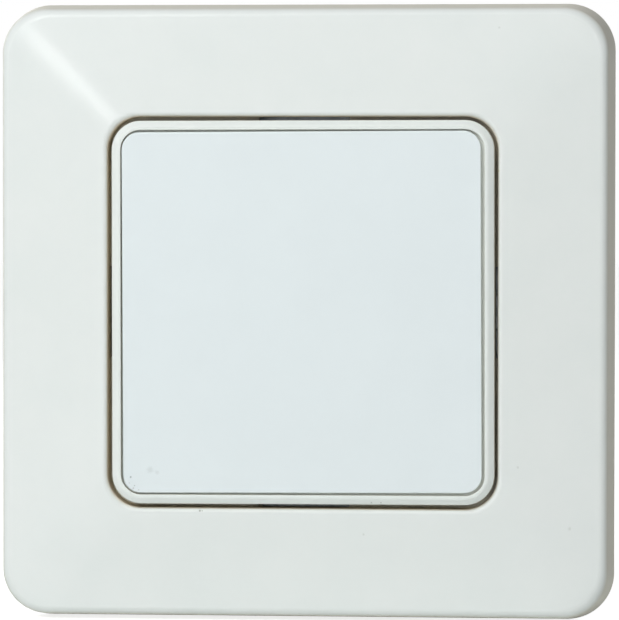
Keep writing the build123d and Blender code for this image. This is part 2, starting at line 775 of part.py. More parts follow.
with BuildPart() as choke_winding:
    with BuildSketch(Plane(origin=(choke_place[0], 0, choke_place[1]), x_dir=(1, 0, 0), z_dir=(0, 0, 1))):
        with Locations((core_middle, choke_base + choke_height / 2)):
            RectangleRounded(core_wall, choke_height + 2 * winding_thickness, winding_thickness)
            Rectangle(core_wall - 2 * winding_thickness, choke_height, mode=Mode.SUBTRACT)
    revolve(axis=choke_axis, revolution_arc=winding_angle)
finish(choke_winding, "choke_winding")

# Capacitors and control chip
film_leads = [(film_place[0] + s * (film_size[0] / 2 - film_lead_inset), film_place[1]) for s in (-1, 1)]
lead_places += film_leads
with BuildPart() as film_capacitor:
    with BuildSketch(board_point(*film_place)):
        Rectangle(film_size[0], film_size[1])
    extrude(amount=film_size[2])
    fillet(film_capacitor.edges().filter_by(Axis.Y), radius=small_round)
    add_leads(film_leads, board_back)
finish(film_capacitor, "film_capacitor")

smoothing_leads = [(smoothing_place[0] + s * smoothing_lead_pitch / 2, smoothing_place[1]) for s in (-1, 1)]
lead_places += smoothing_leads
with BuildPart() as smoothing_capacitor:
    with BuildSketch(board_point(*smoothing_place)):
        Circle(smoothing_diameter / 2)
    extrude(amount=smoothing_height)
    fillet(outer_edges(smoothing_capacitor, -board_back - smoothing_height), radius=small_round)
    add_leads(smoothing_leads, board_back)
finish(smoothing_capacitor, "smoothing_capacitor")

chip_pin_x = [(i - 1.5) * chip_pin_pitch for i in range(4)]
chip_leads = [(chip_place[0] + x, chip_place[1] + s * chip_row_offset) for x in chip_pin_x for s in (-1, 1)]
lead_places += chip_leads
with BuildPart() as control_chip:
    with BuildSketch(board_point(*chip_place, chip_lift)):
        Rectangle(chip_size[0], chip_size[1])
    extrude(amount=chip_size[2])
    chamfer(control_chip.edges().group_by(Axis.Y)[-1], length=chip_chamfer)
    with BuildSketch(board_point(*chip_place, chip_lift + chip_size[2] / 2)):
        with Locations(*[(x, 0) for x in chip_pin_x]):
            Rectangle(lead_diameter, 2 * chip_row_offset + lead_diameter)
    extrude(amount=chip_pin_thickness)
    add_leads(chip_leads, board_back + chip_lift + chip_size[2] / 2)
finish(control_chip, "control_chip")

# Lying resistors and diodes, alike ones in one group each
for label, places, diameter, length, along_x in (
    ("resistors", resistor_places, resistor_diameter, resistor_length, True),
    ("touch_resistors", touch_resistor_places, resistor_diameter, resistor_length, False),
    ("diodes", diode_places, diode_diameter, diode_length, True),
):
    with BuildPart() as group:
        for place in places:
            add_axial(place, diameter, length, along_x)
            lead_places += axial_leads(place, length, along_x)
    finish(group, label)

# Fuse: glass tube, two caps and two spring clips
fuse_depth = board_back + fuse_lift + fuse_clip_sheet + fuse_diameter / 2
fuse_middle = (fuse_place[0], fuse_depth, fuse_place[1])
cap_offset = (fuse_length - fuse_cap_length) / 2
with BuildPart() as fuse_tube:
    with BuildSketch(Plane(origin=fuse_middle, z_dir=(1, 0, 0))):
        Circle(fuse_diameter / 2 - fuse_cap_wall)
        Circle(fuse_diameter / 2 - 1.0, mode=Mode.SUBTRACT)
    extrude(amount=fuse_length / 2 - fuse_cap_wall, both=True)
finish(fuse_tube, "fuse_tube")

with BuildPart() as fuse_caps:
    for end in (-1, 1):
        start = (fuse_middle[0] + end * fuse_length / 2, fuse_depth, fuse_place[1])
        with BuildSketch(Plane(origin=start, z_dir=(-end, 0, 0))):
            Circle(fuse_diameter / 2)
        extrude(amount=fuse_cap_length)
        inside = (start[0] - end * fuse_cap_wall, fuse_depth, fuse_place[1])
        with BuildSketch(Plane(origin=inside, z_dir=(-end, 0, 0))):
            Circle(fuse_diameter / 2 - fuse_cap_wall)
        extrude(amount=fuse_cap_length - fuse_cap_wall, mode=Mode.SUBTRACT)
finish(fuse_caps, "fuse_caps")

fuse_clip_leads = [(fuse_middle[0] + s * cap_offset, fuse_place[1]) for s in (-1, 1)]
lead_places += fuse_clip_leads
with BuildPart() as fuse_clips:
    clip_outer = fuse_diameter / 2 + fuse_clip_sheet
    for end in (-1, 1):
        middle = (fuse_middle[0] + end * cap_offset, fuse_depth, fuse_place[1])
        with BuildSketch(Plane(origin=middle, x_dir=(0, 1, 0), z_dir=(1, 0, 0))):
            Circle(clip_outer)
            Circle(fuse_diameter / 2, mode=Mode.SUBTRACT)
            with Locations((clip_outer, 0)):
                Rectangle(2 * clip_outer * 0.8, 2 * clip_outer, mode=Mode.SUBTRACT)
            with Locations((-clip_outer - fuse_lift / 2 + fuse_clip_sheet / 2, 0)):
                Rectangle(fuse_lift + fuse_clip_sheet, fuse_diameter / 2)
        extrude(amount=fuse_clip_width / 2, both=True)
    add_leads(fuse_clip_leads, board_back)
finish(fuse_clips, "fuse_clips")

# Terminal bars: a bar through the cage, a leg down to the board and a pin through it
bar_back = terminal_bar_depth + terminal_bar_thickness
bar_end = housing_inner_bottom - seat_clearance
leg_top = terminal_leg_offset - terminal_bar_thickness / 2


def make_terminal_bar(x):
    """Folded brass bar of one terminal."""
    with BuildPart() as bar:
        with BuildSketch(front.offset(-terminal_bar_depth)):
            with Locations((x, -(bar_end + leg_top) / 2)):
                Rectangle(terminal_bar_width, bar_end - leg_top)
        extrude(amount=-terminal_bar_thickness)
        with BuildSketch(front.offset(-bar_back)):
            with Locations((x, -terminal_leg_offset)):
                Rectangle(terminal_leg_width, terminal_bar_thickness)
        extrude(amount=bar_back - board_back)
        with BuildSketch(front.offset(-board_back)):
            with Locations((x, -terminal_leg_offset)):
                Rectangle(terminal_pin_width, terminal_bar_thickness)
        extrude(amount=board_thickness + lead_end_gap)
    return bar


def make_terminal_cage(x):
    """Clamp cage: a closed loop round the bar, threaded for the screw at the back."""
    cage_front = terminal_bar_depth - wire_hole - cage_front_wall
    window_back = bar_back + cage_lift_gap
    cage_back = window_back + cage_thread_wall
    with BuildPart() as cage:
        with BuildSketch(Plane.XY.offset(-terminal_offset)):
            with Locations((x, (cage_front + cage_back) / 2)):
                RectangleRounded(cage_width, cage_back - cage_front, cage_side * 0.8)
            with Locations((x, (cage_front + cage_front_wall + window_back) / 2)):
                Rectangle(
                    cage_width - 2 * cage_side,
                    window_back - cage_front - cage_front_wall,
                    mode=Mode.SUBTRACT,
                )
        extrude(amount=cage_length / 2, both=True)
        with BuildSketch(front.offset(-cage_back)):
            with Locations((x, -terminal_offset)):
                Circle(terminal_screw_diameter / 2 + thread_clearance)
        extrude(amount=cage_thread_wall, mode=Mode.SUBTRACT)
    return cage


def make_terminal_screw(x):
    """Terminal screw: its tip on the bar, its head in the housing's rear window."""
    head_back = terminal_screw_head_depth + terminal_screw_head_thickness
    with BuildPart() as screw:
        with BuildSketch(front.offset(-head_back)):
            with Locations((x, -terminal_offset)):
                Circle(terminal_screw_head / 2)
        extrude(amount=terminal_screw_head_thickness)
        fillet(outer_edges(screw, -head_back), radius=small_round)
        with BuildSketch(front.offset(-bar_back)):
            with Locations((x, -terminal_offset)):
                Circle(terminal_screw_diameter / 2)
        extrude(amount=bar_back - terminal_screw_head_depth)
        with BuildSketch(front.offset(-head_back)):
            with Locations((x, -terminal_offset)):
                Rectangle(terminal_screw_head * cross_length, terminal_screw_head * cross_width)
                Rectangle(terminal_screw_head * cross_width, terminal_screw_head * cross_length)
        extrude(amount=terminal_screw_head_thickness / 2, mode=Mode.SUBTRACT)
    return screw


for number, x in enumerate(terminal_places, start=1):
    finish(make_terminal_bar(x), f"terminal_bar_{number}")
    finish(make_terminal_cage(x), f"terminal_cage_{number}")
    finish(make_terminal_screw(x), f"terminal_screw_{number}")

# Circuit board: follows the housing inside, drilled for every lead
with BuildPart() as circuit_board:
    with BuildSketch(front.offset(-board_back)):
        housing_outline(housing_wall + edge_clearance, housing_bottom_wall + edge_clearance)
        with Locations((0, board_top + housing_diameter / 2)):
            Rectangle(housing_diameter, housing_diameter, mode=Mode.SUBTRACT)
        with Locations(*boss_places):
            Circle(boss_diameter / 2 + board_corner_clearance, mode=Mode.SUBTRACT)
        with Locations(*lead_places):
            Circle(lead_diameter / 2 + lead_hole_clearance, mode=Mode.SUBTRACT)
        with Locations(*[(x, -terminal_leg_offset) for x in terminal_places]):
            Circle(terminal_pin_width / 2 + 2 * lead_hole_clearance, mode=Mode.SUBTRACT)
    extrude(amount=board_thickness)
finish(circuit_board, "circuit_board")
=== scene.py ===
"""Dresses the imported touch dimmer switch: fine front surfaces, finishes for every part, light and camera.

Sizes are in metres in the part's own frame: the wall is Y = 0, the front faces -Y, +X is right and +Z is up.
Heights are measured out of the wall, towards -Y, and depths into it.
"""

from __future__ import annotations

import json
import logging
import math
from dataclasses import dataclass, field
from enum import Enum
from functools import cache

import bmesh
import bpy
import numpy as np
from mathutils import Matrix, Vector

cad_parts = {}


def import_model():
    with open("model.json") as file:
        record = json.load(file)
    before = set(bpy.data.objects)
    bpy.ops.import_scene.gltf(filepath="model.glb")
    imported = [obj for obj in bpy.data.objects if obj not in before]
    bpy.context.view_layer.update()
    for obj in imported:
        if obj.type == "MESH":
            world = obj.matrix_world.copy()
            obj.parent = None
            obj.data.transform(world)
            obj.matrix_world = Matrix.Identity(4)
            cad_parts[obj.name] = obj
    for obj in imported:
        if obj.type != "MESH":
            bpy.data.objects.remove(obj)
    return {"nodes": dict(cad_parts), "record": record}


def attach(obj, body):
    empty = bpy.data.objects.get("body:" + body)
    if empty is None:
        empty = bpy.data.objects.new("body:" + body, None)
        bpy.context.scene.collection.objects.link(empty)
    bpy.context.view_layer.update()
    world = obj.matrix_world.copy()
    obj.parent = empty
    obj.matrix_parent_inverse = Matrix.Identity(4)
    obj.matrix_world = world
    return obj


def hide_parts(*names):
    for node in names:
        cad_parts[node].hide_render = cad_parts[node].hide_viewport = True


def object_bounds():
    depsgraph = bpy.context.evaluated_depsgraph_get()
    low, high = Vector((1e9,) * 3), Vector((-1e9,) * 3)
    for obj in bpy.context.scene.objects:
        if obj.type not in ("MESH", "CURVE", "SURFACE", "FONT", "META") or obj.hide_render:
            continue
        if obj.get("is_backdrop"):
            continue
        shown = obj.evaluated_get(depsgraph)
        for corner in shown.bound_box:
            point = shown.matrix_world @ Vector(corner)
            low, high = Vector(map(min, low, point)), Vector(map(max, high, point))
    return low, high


LOG = logging.getLogger("touch_dimmer")
IMAGE_WIDTH = 619
IMAGE_HEIGHT = 620
MM = 0.001
WELD_DISTANCE = 1e-6
SHARP_ANGLE = math.radians(28)
# How far beyond each rounding a guard row keeps the flat side's shading flat
GUARD = 0.04 * MM
OUT_OF_WALL = np.array([0.0, -1.0, 0.0])
# The spans of a noise that its slow and its fine layers mostly stay in
DRIFT_RANGE = (0.3, 0.7)
GRAIN_RANGE = (0.25, 0.75)
# Size of the lumps that make a speck's edge uneven, in millimetres
SPECK_LUMPS = 0.25
# Keeps a division from running out at a right angle
TINY = 1e-9

Array = np.ndarray
Piece = bpy.types.Object
Tree = bpy.types.NodeTree
Socket = bpy.types.NodeSocket


def linear(hex_colour: str) -> tuple[float, float, float, float]:
    """Turn an sRGB hex colour into linear light.

    Args:
        hex_colour: Six hex digits, red, green, blue.

    Returns:
        Linear red, green, blue and an alpha of 1.
    """
    parts = [int(hex_colour[i : i + 2], 16) / 255 for i in (0, 2, 4)]
    red, green, blue = (c / 12.92 if c <= 0.04045 else ((c + 0.055) / 1.055) ** 2.4 for c in parts)
    return (red, green, blue, 1.0)


WHITE = linear("FFFFFF")

# Meshes


@dataclass
class Surface:
    """Points and faces of one piece, gathered from grids before they become a mesh."""

    points: list[Array] = field(default_factory=list)
    faces: list[Array] = field(default_factory=list)
    count: int = 0

    def add_grid(self, grid: Array, wrap_rows: bool = False, wrap_columns: bool = True) -> None:
        """Add a grid of points with a quad between each four neighbours.

        The quad of row i and column j joins (i, j), (i, j+1), (i+1, j+1) and (i+1, j). The grid is turned
        over if the volume that it encloses comes out negative.

        Args:
            grid: Rows by columns by three coordinates, in metres.
            wrap_rows: Whether the last row joins the first.
            wrap_columns: Whether the last column joins the first.
        """
        rows, columns = grid.shape[:2]
        index = np.arange(rows * columns).reshape(rows, columns)
        if wrap_rows:
            index = np.vstack([index, index[:1]])
        if wrap_columns:
            index = np.hstack([index, index[:, :1]])
        neighbours = [index[:-1, :-1], index[:-1, 1:], index[1:, 1:], index[1:, :-1]]
        quads = np.stack(neighbours, axis=-1).reshape(-1, 4)
        flat = grid.reshape(-1, 3)
        corners = flat[quads] - flat.mean(axis=0)
        a, b, c, d = (corners[:, i] for i in range(4))
        volume = (a * (np.cross(b, c) + np.cross(c, d))).sum()
        if volume < 0:
            quads = quads[:, ::-1]
        self.points.append(flat)
        self.faces.append(quads + self.count)
        self.count += len(flat)

    def add_prisms(self, outline: Array, starts: tuple[float, ...], thickness: float) -> None:
        """Add the same straight prisms to each side of the square, each end closed towards its middle.

        Args:
            outline: Half width and height of each corner, in order, in metres.
            starts: Where along the side each prism begins, in metres from the side's middle.
            thickness: How far each prism reaches along the side, in metres.
        """
        for side in range(4):
            turn = side * math.pi / 2
            outward = np.array([math.cos(turn), 0.0, math.sin(turn)])
            along = np.array([-math.sin(turn), 0.0, math.cos(turn)])
            for start in starts:
                near = outline[:, :1] * outward + outline[:, 1:] * OUT_OF_WALL + along * start
                middle = np.repeat(near.mean(axis=0)[None], len(near), axis=0)
                sweep = along * thickness
                self.add_grid(np.stack([middle, near, near + sweep, middle + sweep]))

    def build(self, name: str) -> Piece:
        """Make one object from all the grids, with its doubles merged and its flat steps kept sharp.

        Args:
            name: The piece's name.

        Returns:
            The object, at the origin.
        """
        mesh = bpy.data.meshes.new(name)
        mesh.from_pydata(np.vstack(self.points).tolist(), [], np.vstack(self.faces).tolist())
        work = bmesh.new()
        work.from_mesh(mesh)
        bmesh.ops.remove_doubles(work, verts=work.verts, dist=WELD_DISTANCE)
        bmesh.ops.dissolve_degenerate(work, edges=work.edges, dist=WELD_DISTANCE)
        work.to_mesh(mesh)
        work.free()
        mesh.polygons.foreach_set("use_smooth", np.ones(len(mesh.polygons), dtype=bool))
        mesh.set_sharp_from_angle(angle=SHARP_ANGLE)
        mesh.update()
        piece = bpy.data.objects.new(name, mesh)
        bpy.context.scene.collection.objects.link(piece)
        return piece


@dataclass(frozen=True)
class SquareRun:
    """Columns once round a rounded square.

    A row's half width w and straight half length s give the point: on a side, outward times w plus along
    times the column's place, and on a corner, its diagonal times s plus the column's direction times (w -
    s). Each side has a column in its middle and at each distance to both sides of it, drawn together where
    s falls below full_straight.
    """

    distances: tuple[float, ...]
    arc_steps: int = 28
    full_straight: float = 20.6 * MM

    def arrays(self) -> tuple[Array, Array, Array, Array]:
        """Work out the columns.

        Returns:
            Each column's outward or diagonal direction, rounding direction, along direction and place.
        """
        columns = []
        places = [-value for value in reversed(self.distances)] + [0.0, *self.distances]
        angles = np.linspace(0, math.pi / 2, self.arc_steps + 1)
        for side in range(4):
            turn = side * math.pi / 2
            outward = np.array([math.cos(turn), math.sin(turn)])
            forward = np.array([-math.sin(turn), math.cos(turn)])
            corner = outward + forward
            columns += [(*outward, *outward, *forward, value) for value in places]
            columns += [(*corner, math.cos(angle), math.sin(angle), 0.0, 0.0, 0.0) for angle in turn + angles]
        table = np.array(columns)
        return table[:, :2], table[:, 2:4], table[:, 4:6], table[:, 6]

    def from_middle(self) -> Array:
        """Find how far each column is from the middle of its side.

        Returns:
            The distances in metres, and infinity on the corners.
        """
        _, _, along, place = self.arrays()
        return np.where(np.abs(along).sum(axis=1) > 0, np.abs(place), np.inf)

    def spread(self, rows: Array) -> list[Array]:
        """Repeat profile rows for every column.

        Args:
            rows: Half width, height and straight half length of each row.

        Returns:
            The half widths, heights and straight half lengths, each rows by columns.
        """
        columns = len(self.from_middle())
        return [np.repeat(rows[:, i : i + 1], columns, axis=1) for i in range(3)]

    def sweep(self, width: Array, height: Array, straight: Array) -> Array:
        """Carry profile rows round the square.

        Args:
            width: Half widths, rows by columns.
            height: Heights out of the wall, rows by columns.
            straight: Half lengths of the straight sides, rows by columns.

        Returns:
            A grid of points, rows by columns by three.
        """
        towards, rounding, along, place = self.arrays()
        scaled = place[None, :] * np.minimum(1.0, straight / self.full_straight)
        flat = (
            towards[None] * straight[..., None]
            + rounding[None] * (width - straight)[..., None]
            + along[None] * scaled[..., None]
        )
        return np.stack([flat[..., 0], -height, flat[..., 1]], axis=-1)


def rounded_profile(corners: list[tuple[float, float, float, float]], steps: int) -> Array:
    """Round the corners of a closed profile.

    Each corner with a radius is replaced by an arc that touches both neighbouring sides: the arc's ends lie
    radius / tan(half the inner angle) from the corner, and its middle lies on the corner's bisector. A
    guard row a little further along each side keeps the side's smooth shading flat.

    Args:
        corners: Half width, height, straight half length and rounding radius of each corner, in order.
        steps: Steps of each arc.

    Returns:
        Rows of half width, height and straight half length.
    """
    rows = []
    data = np.array(corners, dtype=float)
    share = np.linspace(0, 1, steps + 1)
    for i, (width, height, straight, radius) in enumerate(data):
        if radius <= 0:
            rows.append([width, height, straight])
            continue
        here = data[i, :3]
        before = data[i - 1, :3] - here
        after = data[(i + 1) % len(data), :3] - here
        span_before = np.linalg.norm(before[:2])
        span_after = np.linalg.norm(after[:2])
        unit_before = before[:2] / span_before
        unit_after = after[:2] / span_after
        half = math.acos(np.clip(unit_before @ unit_after, -1, 1)) / 2
        reach = radius / math.tan(half)
        bisector = (unit_before + unit_after) / np.linalg.norm(unit_before + unit_after)
        middle = here[:2] + bisector * radius / math.sin(half)
        start = here[:2] + unit_before * reach - middle
        end = here[:2] + unit_after * reach - middle
        start_straight = straight + before[2] * reach / span_before
        end_straight = straight + after[2] * reach / span_after
        total = math.pi - 2 * half
        blend_start = np.sin((1 - share) * total) / math.sin(total)
        blend_end = np.sin(share * total) / math.sin(total)
        arc = middle + blend_start[:, None] * start + blend_end[:, None] * end
        runs = start_straight + share * (end_straight - start_straight)
        rows.append((here + before * (reach + GUARD) / span_before).tolist())
        rows.extend(np.column_stack([arc, runs]).tolist())
        rows.append((here + after * (reach + GUARD) / span_after).tolist())
    return np.array(rows)


def askew(points: Array, turn: float, shift: float, lift: float) -> Array:
    """Turn points a little about the Y axis, anticlockwise as seen from the front, and shift them.

    Args:
        points: Points in metres, with the three coordinates last.
        turn: The angle, in radians.
        shift: The move to the right, in metres.
        lift: The move up, in metres.

    Returns:
        The moved points.
    """
    matrix = np.array(Matrix.Rotation(-turn, 3, "Y"))
    return points @ matrix.T + np.array([shift, 0.0, lift])


# Nodes


def add_node(
    tree: Tree,
    kind: str,
    settings: dict[str, object] | None = None,
    inputs: dict[str | int, object] | None = None,
) -> bpy.types.Node:
    """Add one node with its settings and links.

    Args:
        tree: The material's or world's node tree.
        kind: The node's type name.
        settings: Attributes to set on the node.
        inputs: A value or an output socket for each input, by name or number.

    Returns:
        The node.
    """
    node = tree.nodes.new(kind)
    for name, value in (settings or {}).items():
        setattr(node, name, value)
    for key, value in (inputs or {}).items():
        if isinstance(value, bpy.types.NodeSocket):
            tree.links.new(value, node.inputs[key])
        else:
            node.inputs[key].default_value = value
    return node


def maths(tree: Tree, operation: str, *values: Socket | float) -> Socket:
    """Work out one operation.

    Args:
        tree: The material's or world's node tree.
        operation: The Math node's operation.
        values: A number or a socket for each input, in order.

    Returns:
        The result.
    """
    return add_node(tree, "ShaderNodeMath", {"operation": operation}, dict(enumerate(values))).outputs[0]


def ramp(
    tree: Tree,
    value: Socket,
    source: tuple[float, float],
    target: tuple[float, float] = (0.0, 1.0),
    smooth: bool = False,
) -> Socket:
    """Carry a value from one range to another, held at both ends.

    Args:
        tree: The material's node tree.
        value: The value to carry.
        source: The range that it comes from.
        target: The range that it goes to.
        smooth: Whether it eases in and out.

    Returns:
        The carried value.
    """
    inputs = {"Value": value, "From Min": source[0], "From Max": source[1]}
    inputs |= {"To Min": target[0], "To Max": target[1]}
    easing = "SMOOTHSTEP" if smooth else "LINEAR"
    return add_node(tree, "ShaderNodeMapRange", {"interpolation_type": easing}, inputs).outputs["Result"]


def lay_over(tree: Tree, share: Socket, below: Socket | tuple, above: str, blend: str = "MIX") -> Socket:
    """Lay one colour over another.

    Args:
        tree: The material's node tree.
        share: How much of the upper colour shows, from 0 to 1.
        below: The lower colour, as a socket or in linear light.
        above: The upper colour, in hex.
        blend: The Mix node's way to blend.

    Returns:
        The colour.
    """
    settings = {"data_type": "RGBA", "blend_type": blend}
    return add_node(tree, "ShaderNodeMix", settings, {0: share, 6: below, 7: linear(above)}).outputs[2]


def noise(tree: Tree, vector: Socket, size: float, detail: float, roughness: float = 0.5) -> Socket:
    """Add noise with lumps of a given size.

    Args:
        tree: The material's node tree.
        vector: Coordinates in metres.
        size: Size of the lumps, in millimetres.
        detail: How many finer layers come on top.
        roughness: How strong the finer layers are.

    Returns:
        The noise, round about a half.
    """
    inputs = {"Vector": vector, "Scale": 1 / (size * MM), "Detail": detail, "Roughness": roughness}
    return add_node(tree, "ShaderNodeTexNoise", {}, inputs).outputs["Fac"]


# Finishes


@dataclass(frozen=True)
class Speck:
    """A grain of dirt or a rub mark on the front, placed from the middle, in millimetres.

    It is whole as far as core times the radius and gone at fade times the radius. Noise pulls its edge in
    by up to wobble times the radius.
    """

    x: float
    z: float
    radius: float
    colour: str
    strength: float
    core: float = 0.6
    fade: float = 1.5
    wobble: float = 0.8


@dataclass(frozen=True)
class Drift:
    """A second colour that drifts through the first, in lumps of a size in millimetres."""

    colour: str
    size: float


@dataclass(frozen=True)
class Gloss:
    """How rough a surface is, and how far its grain moves that both ways."""

    roughness: float
    spread: float


@dataclass(frozen=True)
class Grain:
    """Size and depth of a surface's fine grain, in millimetres."""

    size: float
    depth: float


@dataclass(frozen=True)
class Finish:
    """What every finish has. The mirror strength says how strongly a face reflects when seen square on."""

    name: str
    colour: str
    drift: Drift
    gloss: Gloss
    grain: Grain
    metallic: float = 0.0
    stretch: tuple[float, float, float] = (1.0, 1.0, 1.0)
    specks: tuple[Speck, ...] = ()
    coat: float = 0.0
    coat_roughness: float = 0.2
    mirror: float = 0.5

    def base_colour(self, tree: Tree, vector: Socket) -> Socket:
        """The two colours mixed by a slow noise of the drift's size.

        Args:
            tree: The material's node tree.
            vector: Coordinates in metres.

        Returns:
            The colour.
        """
        lumps = noise(tree, vector, self.drift.size, detail=4.0, roughness=0.55)
        return lay_over(tree, ramp(tree, lumps, DRIFT_RANGE), linear(self.colour), self.drift.colour)

    def dirtied(self, tree: Tree, colour: Socket) -> Socket:
        """Lay the specks over a colour: each fades out from its middle to its uneven edge.

        Args:
            tree: The material's node tree.
            colour: The colour beneath.

        Returns:
            The colour with the specks.
        """
        place = add_node(tree, "ShaderNodeTexCoord").outputs["Object"]
        flattened = {0: place, 1: (1.0, 0.0, 1.0)}
        flat = add_node(tree, "ShaderNodeVectorMath", {"operation": "MULTIPLY"}, flattened).outputs["Vector"]
        lumps = noise(tree, place, SPECK_LUMPS, detail=2.0)
        for speck in self.specks:
            ends = {0: flat, 1: (speck.x * MM, 0.0, speck.z * MM)}
            away = add_node(tree, "ShaderNodeVectorMath", {"operation": "DISTANCE"}, ends).outputs["Value"]
            radius = speck.radius * MM
            uneven = maths(tree, "MULTIPLY_ADD", lumps, radius * speck.wobble, away)
            edge = (radius * speck.core, radius * speck.fade)
            share = ramp(tree, uneven, edge, (speck.strength, 0.0), smooth=True)
            colour = lay_over(tree, share, colour, speck.colour)
        return colour

    def surface(self, tree: Tree, colour: Socket, vector: Socket) -> bpy.types.Node:
        """The shader with its gloss varied by a fine noise and its grain as bump.

        Args:
            tree: The material's node tree.
            colour: The base colour.
            vector: Coordinates in metres.

        Returns:
            The shader node.
        """
        grain = noise(tree, vector, self.grain.size, detail=3.0, roughness=0.6)
        ends = (self.gloss.roughness - self.gloss.spread, self.gloss.roughness + self.gloss.spread)
        raised = {"Height": grain, "Distance": self.grain.depth * MM, "Strength": 1.0}
        inputs = {
            "Base Color": colour,
            "Roughness": ramp(tree, grain, GRAIN_RANGE, ends),
            "Metallic": self.metallic,
            "Normal": add_node(tree, "ShaderNodeBump", {}, raised).outputs["Normal"],
            "Specular IOR Level": self.mirror,
            "Coat Weight": self.coat,
            "Coat Roughness": self.coat_roughness,
        }
        return add_node(tree, "ShaderNodeBsdfPrincipled", {}, inputs)

    def material(self) -> bpy.types.Material:
        """Make the material, its coordinates stretched where the finish was rolled or drawn.

        Returns:
            The material.
        """
        made = bpy.data.materials.new(self.name)
        made.use_nodes = True
        tree = made.node_tree
        tree.nodes.clear()
        place = add_node(tree, "ShaderNodeTexCoord").outputs["Object"]
        stretched = add_node(tree, "ShaderNodeMapping", {}, {"Vector": place, "Scale": self.stretch})
        vector = stretched.outputs["Vector"]
        colour = self.base_colour(tree, vector)
        if self.specks:
            colour = self.dirtied(tree, colour)
        shader = self.surface(tree, colour, vector)
        add_node(tree, "ShaderNodeOutputMaterial", {}, {"Surface": shader.outputs[0]})
        return made


@dataclass(frozen=True)
class Metal(Finish):
    """Bare or plated metal."""

    metallic: float = 1.0


@dataclass(frozen=True)
class PaintedGapShade:
    """Painted shade: a darker colour that comes in from one height to a lower one, inside a half width, in
    millimetres.
    """

    colour: str
    start: float
    end: float
    reach: float


@dataclass(frozen=True)
class MouldedUrea(Finish):
    """White moulded urea resin: dense and softly glossy, with painted warm shade on its walls and in its
    gaps.

    The mould's polish leaves the front glossy, and the way out of the mould leaves roundings and walls
    matt. The ranges are of how squarely a face looks to the front, from 0 to 1.
    """

    mirror: float = 0.3
    # Painted shade: darker, warmer colour down the opening's lip wall and deep in the gap round the insert
    gap_shades: tuple[PaintedGapShade, ...] = (PaintedGapShade("ECE5D8", 9.45, 8.9, 25.75), PaintedGapShade("ECE8D8", 8.8, 7.2, 26.4))
    matt_roughness: float = 0.6
    matt_range: tuple[float, float] = (0.94, 0.9905)
    # Painted warm shade on the walls that face sideways, full where they face least to the front
    wall_shade_colour: str = "ECE5DA"
    wall_shade_range: tuple[float, float] = (0.75, 0.25)

    def base_colour(self, tree: Tree, vector: Socket) -> Socket:
        """The plain colour, turned to each painted gap shade below its height and inside its half width.

        Args:
            tree: The material's node tree.
            vector: Coordinates in metres.

        Returns:
            The colour.
        """
        colour = Finish.base_colour(self, tree, vector)
        parts = add_node(tree, "ShaderNodeSeparateXYZ", {}, {0: vector}).outputs
        across = maths(tree, "ABSOLUTE", parts["X"])
        up = maths(tree, "ABSOLUTE", parts["Z"])
        far = maths(tree, "MAXIMUM", across, up)
        # Each painted shade darkens the colour below its height, inside its half width
        for painted_shade in self.gap_shades:
            depth = ramp(tree, parts["Y"], (-painted_shade.start * MM, -painted_shade.end * MM), smooth=True)
            inside = maths(tree, "LESS_THAN", far, painted_shade.reach * MM)
            colour = lay_over(tree, maths(tree, "MULTIPLY", depth, inside), colour, painted_shade.colour)
        return colour

    def surface(self, tree: Tree, colour: Socket, vector: Socket) -> bpy.types.Node:
        """The plain shader, with its roundings and walls made matt and painted warm shade on its walls.

        Args:
            tree: The material's node tree.
            colour: The base colour.
            vector: Coordinates in metres.

        Returns:
            The shader node.
        """
        shader = Finish.surface(self, tree, colour, vector)
        gloss = shader.inputs["Roughness"].links[0].from_socket
        normal = add_node(tree, "ShaderNodeNewGeometry").outputs["Normal"]
        parts = add_node(tree, "ShaderNodeSeparateXYZ", {}, {0: normal}).outputs
        front = maths(tree, "ABSOLUTE", parts["Y"])
        matt = ramp(tree, front, self.matt_range, (self.matt_roughness, 0.0))
        # Painted warm shade: the walls' colour multiplied darker and warmer by how far they turn from the
        # front
        wall_shaded = lay_over(tree, ramp(tree, front, self.wall_shade_range), colour, self.wall_shade_colour, "MULTIPLY")
        tree.links.new(maths(tree, "MAXIMUM", gloss, matt), shader.inputs["Roughness"])
        tree.links.new(wall_shaded, shader.inputs["Base Color"])
        return shader


@dataclass(frozen=True)
class LacqueredBoard(Finish):
    """Glass-fibre board under green lacquer: raised copper runs show as paler lines on a 2.54 mm raster."""

    track_colour: str = "3F8A55"
    track_range: tuple[float, float] = (0.34, 0.38)
    raster: float = 2.54
    raster_looseness: float = 0.35

    def base_colour(self, tree: Tree, vector: Socket) -> Socket:
        """Green with paler runs along the borders between the loosened raster's cells.

        Args:
            tree: The material's node tree.
            vector: Coordinates in metres.

        Returns:
            The colour.
        """
        plain = Finish.base_colour(self, tree, vector)
        settings = {"distance": "CHEBYCHEV", "feature": "F1"}
        inputs = {"Vector": vector, "Scale": 1 / (self.raster * MM), "Randomness": self.raster_looseness}
        cells = add_node(tree, "ShaderNodeTexVoronoi", settings, inputs)
        share = ramp(tree, cells.outputs["Distance"], self.track_range)
        return lay_over(tree, share, plain, self.track_colour)


@dataclass(frozen=True)
class ClearGlass(Finish):
    """Drawn glass tube: clear, with a faint drift in its gloss."""

    clearness: float = 0.9
    refraction: float = 1.5

    def surface(self, tree: Tree, colour: Socket, vector: Socket) -> bpy.types.Node:
        """The plain shader with light let through.

        Args:
            tree: The material's node tree.
            colour: The base colour.
            vector: Coordinates in metres.

        Returns:
            The shader node.
        """
        shader = Finish.surface(self, tree, colour, vector)
        shader.inputs["Transmission Weight"].default_value = self.clearness
        shader.inputs["IOR"].default_value = self.refraction
        return shader


